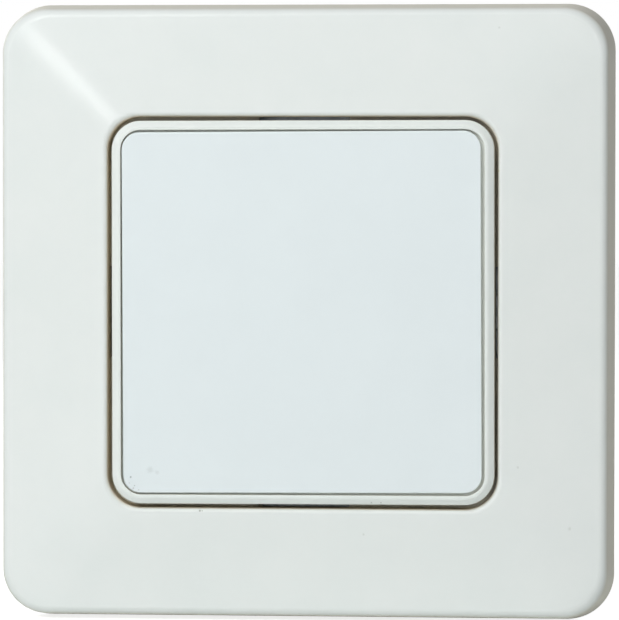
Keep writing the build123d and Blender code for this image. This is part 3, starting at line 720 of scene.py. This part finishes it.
PLATE_SPECKS = (
    Speck(-22.35, -21.55, 0.17, "8F9A9A", 0.75),
    Speck(-21.85, -22.65, 0.12, "9AA3A3", 0.6),
    Speck(-19.8, -20.6, 0.55, "CBD4D5", 0.5),
    Speck(-18.9, -20.9, 0.35, "CDD6D7", 0.5),
    Speck(-22.0, -23.0, 0.16, "B4BAB9", 0.7),
    Speck(-22.55, -22.3, 0.12, "B9BFBE", 0.6),
    Speck(-21.3, -23.2, 0.14, "B4BAB9", 0.6),
)
COVER_SPECKS = (
    Speck(-13.35, -25.95, 0.17, "84867C", 0.8),
    Speck(-13.05, -25.95, 0.12, "8C8E84", 0.7),
    Speck(28.2, -20.0, 0.22, "CBD1CC", 0.5),
    Speck(34.9, -28.0, 0.3, "CDD3CE", 0.5),
    Speck(8.1, -28.9, 0.2, "C9CFCA", 0.5),
    Speck(25.6, 37.1, 0.2, "C8CFCB", 0.5),
    Speck(25.6, 18.5, 0.22, "D9D6A8", 0.6),
)
INSERT_SPECKS = (
    Speck(9.2, -24.65, 0.16, "A9ADA6", 0.6),
    Speck(10.45, -24.65, 0.13, "ADB1AA", 0.6),
)
# Painted shade: darker down the insert's wall in the gap, and a lighter painted shade in the groove round the
# plate
INSERT_GAP_SHADES = (PaintedGapShade("ECE8DC", 8.8, 7.2, 26.4), PaintedGapShade("E6EAE6", 10.25, 9.85, 23.95))

FINISHES: dict[str, Finish] = {
    # Moulded urea keeps a soft gloss from its polished mould
    "cover_plastic": MouldedUrea(
        "moulded_urea_cover",
        "EAEFED",
        Drift("E7EDEB", 9.0),
        Gloss(0.14, 0.02),
        Grain(1.4, 0.0006),
        specks=COVER_SPECKS,
    ),
    "insert_plastic": MouldedUrea(
        "moulded_urea_insert",
        "EAF0EC",
        Drift("E7EDEA", 7.0),
        Gloss(0.18, 0.02),
        Grain(1.2, 0.0006),
        specks=INSERT_SPECKS,
        gap_shades=INSERT_GAP_SHADES,
    ),
    # Stoved enamel on sheet steel flows out nearly level, with a faint orange peel
    "plate_enamel": Finish(
        "white_stove_enamel",
        "E5EEF0",
        Drift("E3ECEE", 11.0),
        Gloss(0.36, 0.03),
        Grain(1.6, 0.002),
        specks=PLATE_SPECKS,
        coat=0.25,
        coat_roughness=0.25,
    ),
    # Bright zinc shows the rolling direction and a bluish passivation
    "zinc_plated_sheet": Metal(
        "zinc_plated_steel_sheet",
        "C3C7C9",
        Drift("B4B9BE", 4.0),
        Gloss(0.34, 0.08),
        Grain(0.5, 0.003),
        stretch=(1.0, 1.0, 0.15),
    ),
    "zinc_plated_screws": Metal(
        "zinc_plated_steel_screw", "C6C8C8", Drift("AFB3B8", 1.5), Gloss(0.3, 0.07), Grain(0.3, 0.002)
    ),
    # Thermoset with a fine spark-eroded texture
    "housing_plastic": Finish(
        "moulded_dark_thermoset", "3A3D3F", Drift("33363A", 5.0), Gloss(0.46, 0.06), Grain(0.35, 0.006)
    ),
    "housing_cover_plastic": Finish(
        "moulded_grey_thermoset", "8F9496", Drift("888D90", 5.0), Gloss(0.44, 0.05), Grain(0.35, 0.005)
    ),
    # Nickel on drawn wire is warm and bright
    "spring_steel": Metal(
        "nickel_plated_spring_wire", "B9B7B0", Drift("ABA9A3", 1.0), Gloss(0.25, 0.05), Grain(0.2, 0.001)
    ),
    # The lacquer lets the copper runs show through
    "circuit_board": LacqueredBoard(
        "green_lacquered_glass_fibre", "1F5B34", Drift("1B522E", 3.0), Gloss(0.32, 0.05), Grain(0.4, 0.003)
    ),
    # Filled epoxy is moulded nearly black and matt
    "black_moulding": Finish(
        "black_epoxy_moulding", "1C1D1F", Drift("232426", 2.0), Gloss(0.5, 0.06), Grain(0.2, 0.004)
    ),
    # Silicone rubber carries heat to the ring, and is soft and dull
    "insulating_sheet": Finish(
        "grey_silicone_sheet", "9CA1AA", Drift("949AA3", 2.0), Gloss(0.6, 0.05), Grain(0.25, 0.004)
    ),
    # Pressed iron powder wears a yellow coat that says its grade
    "powder_core": Finish(
        "lacquered_iron_powder", "C9B83A", Drift("BFAE34", 2.0), Gloss(0.5, 0.06), Grain(0.3, 0.006)
    ),
    # Clear enamel on drawn copper, with the turns' fine lines
    "enamelled_copper": Metal(
        "enamelled_copper_wire",
        "A85C2C",
        Drift("9C5226", 1.2),
        Gloss(0.3, 0.05),
        Grain(0.25, 0.01),
        stretch=(1.0, 6.0, 1.0),
    ),
    # Cast resin in a smooth polyester cup
    "capacitor_case": Finish(
        "cast_polyester_case", "8E2A1C", Drift("852619", 3.0), Gloss(0.34, 0.04), Grain(0.4, 0.002)
    ),
    # Vinyl shrunk tight over the can
    "sleeved_aluminium": Finish(
        "shrunk_vinyl_sleeve", "20263A", Drift("1B2133", 2.0), Gloss(0.34, 0.05), Grain(0.5, 0.002)
    ),
    # Dipped lacquer over a ceramic rod
    "resistor_lacquer": Finish(
        "lacquered_ceramic", "B8946A", Drift("AE8A60", 1.2), Gloss(0.42, 0.05), Grain(0.25, 0.004)
    ),
    # Glass comes off the drawing bench clear and even
    "fuse_glass": ClearGlass(
        "drawn_clear_glass", "F2F6F5", Drift("EEF4F3", 3.0), Gloss(0.05, 0.02), Grain(1.0, 0.0005)
    ),
    # Nickel over brass is bright, with a yellowish cast
    "nickel_plated_brass": Metal(
        "nickel_plated_brass", "C9C4B6", Drift("BDB8AA", 1.5), Gloss(0.22, 0.05), Grain(0.4, 0.001)
    ),
    # Bare brass, dulled by stamping
    "terminal_brass": Metal(
        "stamped_brass", "C6A25A", Drift("B9954F", 1.5), Gloss(0.3, 0.06), Grain(0.4, 0.002)
    ),
    # Barrel-plated zinc is duller than the sheet's
    "terminal_cage_steel": Metal(
        "zinc_plated_cage_steel", "BDBFBD", Drift("A9ADB0", 1.5), Gloss(0.36, 0.07), Grain(0.4, 0.003)
    ),
}


@cache
def material_of(slot: str) -> bpy.types.Material:
    """Make the material of one of the record's slots, once."""
    return FINISHES[slot].material()


def dress(piece: Piece, slot: str) -> None:
    """Give a piece the slot's material, in every material place that it has.

    Args:
        piece: The object to dress.
        slot: The record's slot name.
    """
    if not piece.data.materials:
        piece.data.materials.append(material_of(slot))
    for place in piece.material_slots:
        place.material = material_of(slot)


# The front: cover frame, insert and touch plate


@dataclass
class CoverFrame:
    """Moulded cover frame: one closed profile carried round the square, with notches and ribs.

    The profile runs up the drafted outer wall, over the sloping face to the opening, down to the ledge, round
    it, down the collar, back up behind it, along the underside and down the inside of the outer wall.
    """

    half_width: float = 40.5 * MM
    corner: float = 6.2 * MM
    draft: float = math.radians(6)
    edge_height: float = 7.7 * MM
    edge_straight: float = 33.8 * MM
    lip_height: float = 9.6 * MM
    rear_round: float = 0.25 * MM
    edge_round: float = 1.3 * MM
    lip_round: float = 0.6 * MM
    cavity_round: float = 0.6 * MM
    round_steps: int = 12
    wall: float = 2.0 * MM
    opening: float = 25.55 * MM
    opening_straight: float = 21.15 * MM
    collar_wall: float = 1.6 * MM
    ring_front: float = 1.2 * MM
    ledge_top: float = 6.2 * MM
    ledge_thickness: float = 1.2 * MM
    ledge_inner: float = 23.9 * MM
    notch_half: float = 6.0 * MM
    notch_edge: float = 0.02 * MM
    outer_columns: tuple[float, ...] = (9.0 * MM, 12.0 * MM, 15.0 * MM, 18.0 * MM, 20.5 * MM)
    rib_offset: float = 16.0 * MM
    rib_thickness: float = 1.0 * MM
    rib_foot: float = 1.6 * MM

    def profile(self) -> tuple[Array, int, int]:
        """Lay out the closed profile.

        Returns:
            The profile's rows, and the numbers of its first ledge row and first collar foot row.
        """
        straight = self.half_width - self.corner
        edge = self.half_width - self.edge_height * math.tan(self.draft)
        cavity = self.half_width - self.wall
        cavity_height = self.edge_height - self.wall
        cavity_top = cavity - cavity_height * math.tan(self.draft)
        collar = self.opening + self.collar_wall
        rise = self.lip_height - self.edge_height
        share = (cavity_top - collar) / (cavity_top - self.opening)
        under = cavity_height + share * rise
        under_straight = straight + share * (self.opening_straight - straight)
        ledge_low = self.ledge_top - self.ledge_thickness
        inner = self.opening_straight
        corners = [
            (self.half_width, 0.0, straight, self.rear_round),
            (edge, self.edge_height, self.edge_straight, self.edge_round),
            (self.opening, self.lip_height, inner, self.lip_round),
            (self.opening, self.ledge_top, inner, 0.0),
            (self.ledge_inner, self.ledge_top, inner, 0.0),
            (self.ledge_inner, ledge_low, inner, 0.0),
            (self.opening, ledge_low, inner, 0.0),
            (self.opening, self.ring_front, inner, 0.0),
            (collar, self.ring_front, inner, 0.0),
            (collar, under, under_straight, 0.0),
            (cavity_top, cavity_height, straight, self.cavity_round),
            (cavity, 0.0, straight, 0.0),
        ]
        rows = rounded_profile(corners, self.round_steps)
        ledge_row = int(np.flatnonzero(np.isclose(rows[:, 0], self.ledge_inner))[0])
        rows_to_foot = 3
        return rows, ledge_row, ledge_row + rows_to_foot

    def shell(self, surface: Surface) -> None:
        """Add the closed shell. In each notch the ledge draws back and the collar ends at the ledge.

        Args:
            surface: Where the grid is added.
        """
        notch, edge = self.notch_half, self.notch_edge
        run = SquareRun((notch / 2, notch - edge, notch, *self.outer_columns))
        rows, ledge_row, foot_row = self.profile()
        width, height, straight = run.spread(rows)
        in_notch = run.from_middle() < notch - edge / 2
        width[ledge_row : ledge_row + 2, in_notch] = self.opening
        height[foot_row : foot_row + 2, in_notch] = self.ledge_top - self.ledge_thickness
        surface.add_grid(run.sweep(width, height, straight), wrap_rows=True)

    def ribs(self, surface: Surface) -> None:
        """Add two ribs on each side between the collar and the outer wall, each sunk into both.

        Args:
            surface: Where the prisms are added.
        """
        cavity_height = self.edge_height - self.wall
        sunk = self.wall / 4
        inner = self.opening + self.collar_wall / 2
        outer = self.half_width - self.wall
        outline = np.array(
            [
                (inner, self.rib_foot),
                (outer - self.rib_foot * math.tan(self.draft) + sunk, self.rib_foot),
                (outer - cavity_height * math.tan(self.draft) + sunk, cavity_height + sunk),
                (inner, cavity_height + self.wall),
            ]
        )
        starts = tuple(sign * self.rib_offset - self.rib_thickness / 2 for sign in (-1, 1))
        surface.add_prisms(outline, starts, self.rib_thickness)

    def build(self) -> Piece:
        """Make the cover frame in place of its CAD node.

        Returns:
            The piece.
        """
        surface = Surface()
        self.shell(surface)
        self.ribs(surface)
        piece = surface.build("cover_frame_moulding")
        dress(piece, "cover_plastic")
        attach(piece, "device")
        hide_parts("cover_frame")
        return piece


@dataclass
class InsertBezel:
    """Moulded insert: sloping rim, recess for the plate, floor with a hole, and a slotted skirt behind."""

    half_width: float = 25.0 * MM
    shift: float = 0.13 * MM
    lift: float = 0.045 * MM
    turn: float = math.radians(0.12)
    straight: float = 21.15 * MM
    height: float = 10.5 * MM
    rim_top: float = 24.2 * MM
    rim_drop: float = 0.5 * MM
    rim_round: float = 0.7 * MM
    edge_round: float = 0.2 * MM
    round_steps: int = 10
    recess: float = 23.79 * MM
    recess_round: float = 0.1 * MM
    seat: float = 9.5 * MM
    floor: float = 1.6 * MM
    hole_radius: float = 4.0 * MM
    flange_height: float = 6.2 * MM
    skirt_outer: float = 23.3 * MM
    skirt_wall: float = 1.4 * MM
    skirt_end: float = 3.4 * MM
    arm_half: float = 5.0 * MM
    arm_column: float = 3.0 * MM
    slot: float = 1.0 * MM
    slot_edge: float = 0.02 * MM
    outer_columns: tuple[float, ...] = (10.0 * MM, 15.0 * MM, 20.0 * MM)
    barb_low: float = 4.3 * MM
    barb_height: float = 1.0 * MM
    barb_depth: float = 0.7 * MM
    barb_width: float = 6.0 * MM

    def shell(self, surface: Surface) -> None:
        """Add the closed shell. Beside each snap arm the skirt's end rows rise and leave a slot.

        Args:
            surface: Where the grid is added.
        """
        inner = self.skirt_outer - self.skirt_wall
        floor = self.seat - self.floor
        corners = [
            (self.half_width, self.flange_height, self.straight, 0.0),
            (self.half_width, self.height - self.rim_drop, self.straight, self.edge_round),
            (self.rim_top, self.height, self.straight, self.rim_round),
            (self.recess, self.height, self.straight, self.recess_round),
            (self.recess, self.seat, self.straight, 0.0),
            (self.hole_radius, self.seat, 0.0, 0.0),
            (self.hole_radius, floor, 0.0, 0.0),
            (inner, floor, self.straight, 0.0),
            (inner, self.skirt_end, self.straight, 0.0),
            (self.skirt_outer, self.skirt_end, self.straight, 0.0),
            (self.skirt_outer, self.flange_height, self.straight, 0.0),
        ]
        rows = rounded_profile(corners, self.round_steps)
        near, far, edge = self.arm_half, self.arm_half + self.slot, self.slot_edge
        run = SquareRun((self.arm_column, near, near + edge, far - edge, far, *self.outer_columns))
        width, height, straight = run.spread(rows)
        place = run.from_middle()
        in_slot = np.flatnonzero((place > near + edge / 2) & (place < far - edge / 2))
        end_rows = np.flatnonzero(np.isclose(rows[:, 1], self.skirt_end))
        height[np.ix_(end_rows, in_slot)] = self.flange_height - edge
        grid = run.sweep(width, height, straight)
        surface.add_grid(askew(grid, self.turn, self.shift, self.lift), wrap_rows=True)

    def barbs(self, surface: Surface) -> None:
        """Add a wedge on the inside of each snap arm.

        Args:
            surface: Where the prisms are added.
        """
        inner = self.skirt_outer - self.skirt_wall
        deep = inner + self.skirt_wall / 2
        outline = np.array(
            [
                (deep, self.barb_low),
                (inner, self.barb_low),
                (inner - self.barb_depth, self.barb_low + self.barb_height),
                (deep, self.barb_low + self.barb_height),
            ]
        )
        surface.add_prisms(outline, (-self.barb_width / 2,), self.barb_width)

    def build(self) -> Piece:
        """Make the insert in place of its CAD node.

        Returns:
            The piece.
        """
        surface = Surface()
        self.shell(surface)
        self.barbs(surface)
        piece = surface.build("insert_moulding")
        dress(piece, "insert_plastic")
        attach(piece, "device")
        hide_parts("insert_bezel")
        return piece


@dataclass
class TouchPlate:
    """Enamelled plate: flat, with edges rounded by the enamel, lying a third of a degree askew."""

    half_width: float = 23.47 * MM
    taller: float = 1.003
    shift: float = 0.01 * MM
    lift: float = 0.07 * MM
    turn: float = math.radians(0.3)
    straight: float = 21.15 * MM
    front: float = 10.3 * MM
    back: float = 9.5 * MM
    edge_round: float = 0.12 * MM
    back_round: float = 0.05 * MM
    round_steps: int = 8
    inner_rings: tuple[float, ...] = (8.0 * MM, 16.0 * MM)
    inner_corner: float = 2.0 * MM
    side_columns: tuple[float, ...] = (5.0 * MM, 10.0 * MM, 15.0 * MM, 20.0 * MM)

    def build(self) -> Piece:
        """Make the plate in place of its CAD node.

        Rings of the rounded square shrink to a point in the middle of the front and of the back.

        Returns:
            The piece.
        """
        corners = [
            (0.0, self.front, 0.0, 0.0),
            *((ring, self.front, ring - self.inner_corner, 0.0) for ring in self.inner_rings),
            (self.half_width - 2 * self.edge_round, self.front, self.straight, 0.0),
            (self.half_width, self.front, self.straight, self.edge_round),
            (self.half_width, self.back, self.straight, self.back_round),
            (0.0, self.back, 0.0, 0.0),
        ]
        run = SquareRun(self.side_columns)
        grid = run.sweep(*run.spread(rounded_profile(corners, self.round_steps)))
        surface = Surface()
        surface.add_grid(askew(grid * np.array([1.0, 1.0, self.taller]), self.turn, self.shift, self.lift))
        piece = surface.build("touch_plate_enamelled")
        dress(piece, "plate_enamel")
        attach(piece, "device")
        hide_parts("touch_plate")
        return piece


# Screws with real threads


class Facing(Enum):
    """Which way a screw's head faces."""

    FRONT = -1
    BACK = 1


@dataclass
class MachineScrew:
    """Pan-head screw with a cross recess and a rolled thread.

    The head is rings between the outline of the cross and a circle. Along the shank, the radius is the
    shank's less the thread's depth times a clipped triangle wave of (turn + depth / pitch), with the same
    hand on every screw.
    """

    name: str
    node: str
    body: str
    x: float
    z: float
    facing: Facing
    head_top: float
    head_height: float
    head_radius: float
    shank_radius: float
    tip: float
    pitch: float
    thread_depth: float
    cross_length: float
    cross_width: float
    head_round: float = 0.5 * MM
    head_round_steps: int = 5
    head_rings: tuple[float, ...] = (0.35, 0.7, 1.0)
    rows_per_turn: int = 6
    wave_slope: float = 2.4
    wave_flat: float = 0.1
    tip_depth: float = 1.1

    def angles(self) -> Array:
        """Work out the columns: the cross's corners, and even steps between them.

        Returns:
            The angles once round, in radians.
        """
        narrow = math.atan2(self.cross_width, self.cross_length)
        eighth = math.pi / 4
        half = np.array([0.0, narrow / 2, narrow, narrow + (eighth - narrow) / 2, eighth])
        quarter = np.concatenate([half, (2 * eighth - half[::-1])[1:-1]])
        return np.concatenate([quarter + k * math.pi / 2 for k in range(4)])

    def cross(self, angle: Array) -> Array:
        """Work out the cross recess: the nearer edge of the arm that each angle points along.

        Args:
            angle: The columns' angles, in radians.

        Returns:
            The recess's radius at each angle.
        """
        across = np.abs(np.cos(angle))
        up = np.abs(np.sin(angle))
        longer = np.maximum(across, up)
        shorter = np.maximum(np.minimum(across, up), TINY)
        arm = np.minimum(self.cross_length / longer, self.cross_width / shorter)
        return np.maximum(arm, self.cross_width / longer)

    def rings(self, angle: Array) -> list[tuple[Array, float]]:
        """Lay out the recess, the head's top, edge and side, the neck, the thread and the flat tip.

        Args:
            angle: The columns' angles, in radians.

        Returns:
            Each ring's radii and its depth below the head's top.
        """
        plain = np.ones_like(angle)
        cross = self.cross(angle)
        rim = self.head_radius - self.head_round
        bottom = self.head_height / 2
        rings = [(plain * 0.0, bottom), (cross / 2, bottom), (cross, bottom), (cross, 0.0)]
        rings += [(cross + (rim - cross) * share, 0.0) for share in self.head_rings]
        for step in np.linspace(0, math.pi / 2, self.head_round_steps + 1)[1:]:
            radius = rim + self.head_round * math.sin(step)
            rings.append((plain * radius, self.head_round * (1 - math.cos(step))))
        rings += [(plain * self.head_radius, self.head_height), (plain * self.shank_radius, self.head_height)]
        length = abs(self.tip - self.head_top)
        start, end = self.head_height + self.pitch / 2, length - self.pitch / 2
        for depth in np.arange(start, end, self.pitch / self.rows_per_turn):
            phase = (-self.facing.value * angle / (2 * math.pi) + depth / self.pitch) % 1
            wave = np.clip(np.abs(phase - 0.5) * self.wave_slope - self.wave_flat, 0, 1)
            rings.append((self.shank_radius - self.thread_depth * wave, depth))
        tip = self.shank_radius - self.thread_depth * self.tip_depth
        return [*rings, (plain * tip, length), (plain * 0.0, length)]

    def build(self) -> Piece:
        """Make the screw in place of its CAD node.

        Returns:
            The piece.
        """
        angle = self.angles()
        rings = self.rings(angle)
        radius = np.array([radii for radii, _ in rings])
        depth = np.array([deep for _, deep in rings])[:, None] * np.ones_like(radius)
        across = self.x + radius * np.sin(angle)
        up = self.z + radius * np.cos(angle)
        surface = Surface()
        surface.add_grid(np.stack([across, self.head_top - self.facing.value * depth, up], axis=-1))
        piece = surface.build(self.name)
        dress(piece, "zinc_plated_screws")
        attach(piece, self.body)
        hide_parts(self.node)
        return piece


def make_screws() -> list[MachineScrew]:
    """Size and place the two claw screws and the three terminal screws.

    Returns:
        The screws.
    """
    claws = [
        MachineScrew(
            name=f"claw_screw_{side}_threaded",
            node=f"claw_screw_{side}",
            body=f"claw_screw_{side}",
            x=sign * 24.6 * MM,
            z=0.0,
            facing=Facing.FRONT,
            head_top=-3.0 * MM,
            head_height=1.8 * MM,
            head_radius=2.5 * MM,
            shank_radius=1.45 * MM,
            tip=20.2 * MM,
            pitch=0.5 * MM,
            thread_depth=0.27 * MM,
            cross_length=1.5 * MM,
            cross_width=0.4 * MM,
        )
        for side, sign in (("left", -1), ("right", 1))
    ]
    terminals = [
        MachineScrew(
            name=f"terminal_screw_{number}_threaded",
            node=f"terminal_screw_{number}",
            body=f"terminal_screw_{number}",
            x=(number - 2) * 8.5 * MM,
            z=-18.0 * MM,
            facing=Facing.BACK,
            head_top=23.2 * MM,
            head_height=2.0 * MM,
            head_radius=2.8 * MM,
            shank_radius=1.7 * MM,
            tip=13.5 * MM,
            pitch=0.6 * MM,
            thread_depth=0.3 * MM,
            cross_length=1.68 * MM,
            cross_width=0.45 * MM,
        )
        for number in (1, 2, 3)
    ]
    return claws + terminals


# Light, floor and camera


@dataclass(frozen=True)
class Lamp:
    """One round area lamp that looks at the object, in metres and watts."""

    name: str
    direction: tuple[float, float, float]
    distance: float
    size: float
    power: float

    def hang(self) -> None:
        """Hang the lamp at its distance in its direction."""
        data = bpy.data.lights.new(self.name, "AREA")
        data.shape = "DISK"
        data.size = self.size
        data.energy = self.power
        towards = Vector(self.direction).normalized()
        lamp = bpy.data.objects.new(self.name, data)
        lamp.location = towards * self.distance
        lamp.rotation_euler = towards.to_track_quat("Z", "Y").to_euler()
        bpy.context.scene.collection.objects.link(lamp)


# Soft key and fill lights, a small one for the streak on the top left corner, and one behind
LAMPS = (
    Lamp("key_light", direction=(-0.36, -0.74, 0.57), distance=0.8, size=0.52, power=4.15),
    Lamp("fill_light", direction=(0.45, -0.85, 0.27), distance=0.8, size=0.3, power=0.7),
    Lamp("sheen_light", direction=(-0.302, -0.935, 0.199), distance=0.9, size=0.065, power=0.108),
    Lamp("back_light", direction=(-0.6, 0.75, 0.28), distance=0.8, size=0.6, power=2.5),
)


@dataclass
class Studio:
    """Plain pale floor that glows to the camera, white surroundings and the lamps."""

    floor_size: float = 6.0
    floor_finish: Finish = Finish(
        "painted_studio_floor", "E2E4E2", Drift("E0E2E0", 120.0), Gloss(0.7, 0.03), Grain(4.0, 0.002)
    )
    floor_glow: float = 0.75
    floor_bounce: float = 0.04
    ambient: float = 0.11
    lamps: tuple[Lamp, ...] = LAMPS

    def seen(self, tree: Tree) -> Socket:
        """Tell rays from the camera, in reflections and through glass from all others.

        Args:
            tree: The material's or world's node tree.

        Returns:
            One for such a ray, and nought for all others.
        """
        path = add_node(tree, "ShaderNodeLightPath").outputs
        direct = maths(tree, "MAXIMUM", path["Is Camera Ray"], path["Is Glossy Ray"])
        return maths(tree, "MAXIMUM", direct, path["Is Transmission Ray"])

    def floor(self, level: float) -> None:
        """Lay the floor, with one glow for rays that see it and a fainter one for the rest.

        Args:
            level: Height of the floor, in metres.
        """
        half = self.floor_size / 2
        x, y = np.meshgrid((-half, half), (-half, half))
        surface = Surface()
        surface.add_grid(np.stack([x, y, np.full_like(x, level)], axis=-1), wrap_columns=False)
        ground = surface.build("studio_floor")
        if ground.data.polygons[0].normal.z < 0:
            ground.data.flip_normals()
        painted = self.floor_finish.material()
        tree = painted.node_tree
        output = next(n for n in tree.nodes if n.type == "OUTPUT_MATERIAL")
        lit = output.inputs["Surface"].links[0].from_socket
        bright = {0: self.seen(tree)}
        for place, strength in ((1, self.floor_bounce), (2, self.floor_glow)):
            glow = add_node(tree, "ShaderNodeEmission", {}, {"Color": WHITE, "Strength": strength})
            bright[place] = add_node(tree, "ShaderNodeAddShader", {}, {0: lit, 1: glow.outputs[0]}).outputs[0]
        mixed = add_node(tree, "ShaderNodeMixShader", {}, bright)
        tree.links.new(mixed.outputs[0], output.inputs["Surface"])
        ground.data.materials.append(painted)
        ground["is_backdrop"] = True

    def world(self) -> None:
        """White to the camera, in reflections and through glass, and the ambient level to everything else."""
        made = bpy.data.worlds.new("white_surroundings")
        made.use_nodes = True
        tree = made.node_tree
        tree.nodes.clear()
        around = {0: self.seen(tree)}
        for place, strength in ((1, self.ambient), (2, 1.0)):
            inputs = {"Color": WHITE, "Strength": strength}
            around[place] = add_node(tree, "ShaderNodeBackground", {}, inputs).outputs[0]
        mixed = add_node(tree, "ShaderNodeMixShader", {}, around)
        add_node(tree, "ShaderNodeOutputWorld", {}, {"Surface": mixed.outputs[0]})
        bpy.context.scene.world = made

    def build(self, level: float) -> None:
        """Set up the floor, the world and the lamps.

        Args:
            level: Height of the floor, in metres.
        """
        self.floor(level)
        self.world()
        for lamp in self.lamps:
            lamp.hang()
        bpy.context.scene.view_settings.view_transform = "Standard"


@dataclass
class PhotoCamera:
    """The photograph's camera: a long lens from a little right of the middle and a little above it."""

    aim: tuple[float, float, float] = (0.0, -0.005, 0.0)
    distance: float = 0.6075
    yaw: float = math.radians(5.53)
    pitch: float = math.radians(1.49)
    roll: float = math.radians(0.06)
    focal_pixels: float = 4628.5
    centre_x: float = 305.0
    centre_y: float = 311.86
    sensor: float = 36.0
    near_clip: float = 0.01

    def build(self) -> None:
        """Make the camera, aim it and shift it so that its axis meets the measured point of the image."""
        data = bpy.data.cameras.new("photo_camera")
        data.sensor_fit = "HORIZONTAL"
        data.sensor_width = self.sensor
        data.lens = self.focal_pixels * self.sensor / IMAGE_WIDTH
        data.shift_x = (IMAGE_WIDTH / 2 - self.centre_x) / IMAGE_WIDTH
        data.shift_y = (self.centre_y - IMAGE_HEIGHT / 2) / IMAGE_WIDTH
        data.clip_start = self.near_clip
        level = math.cos(self.pitch)
        direction = Vector((math.sin(self.yaw) * level, -math.cos(self.yaw) * level, math.sin(self.pitch)))
        camera = bpy.data.objects.new("photo_camera", data)
        turn = direction.to_track_quat("Z", "Y").to_matrix().to_4x4() @ Matrix.Rotation(self.roll, 4, "Z")
        camera.matrix_world = Matrix.Translation(Vector(self.aim) + direction * self.distance) @ turn
        bpy.context.scene.collection.objects.link(camera)
        bpy.context.scene.camera = camera


def dress_packed(frame: dict) -> int:
    """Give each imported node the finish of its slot.


    Returns:
        How many nodes were dressed.
    """
    rows = frame["record"]["subparts"]
    for row in rows:
        dress(frame["nodes"][row["node"]], row["material_slot"])
    return len(rows)


def main() -> None:
    """Build the dressed switch, its studio and its camera, and note the sizes."""
    logging.basicConfig(level=logging.INFO)
    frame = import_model()
    cad_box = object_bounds()
    PhotoCamera().build()
    LOG.info("dressed %d packed nodes", dress_packed(frame))
    for part in (CoverFrame(), InsertBezel(), TouchPlate(), *make_screws()):
        piece = part.build()
        LOG.info("built %s with %d faces", piece.name, len(piece.data.polygons))
    Studio().build(min(cad_box[0][2], cad_box[1][2]))


if __name__ == "__main__":
    main()
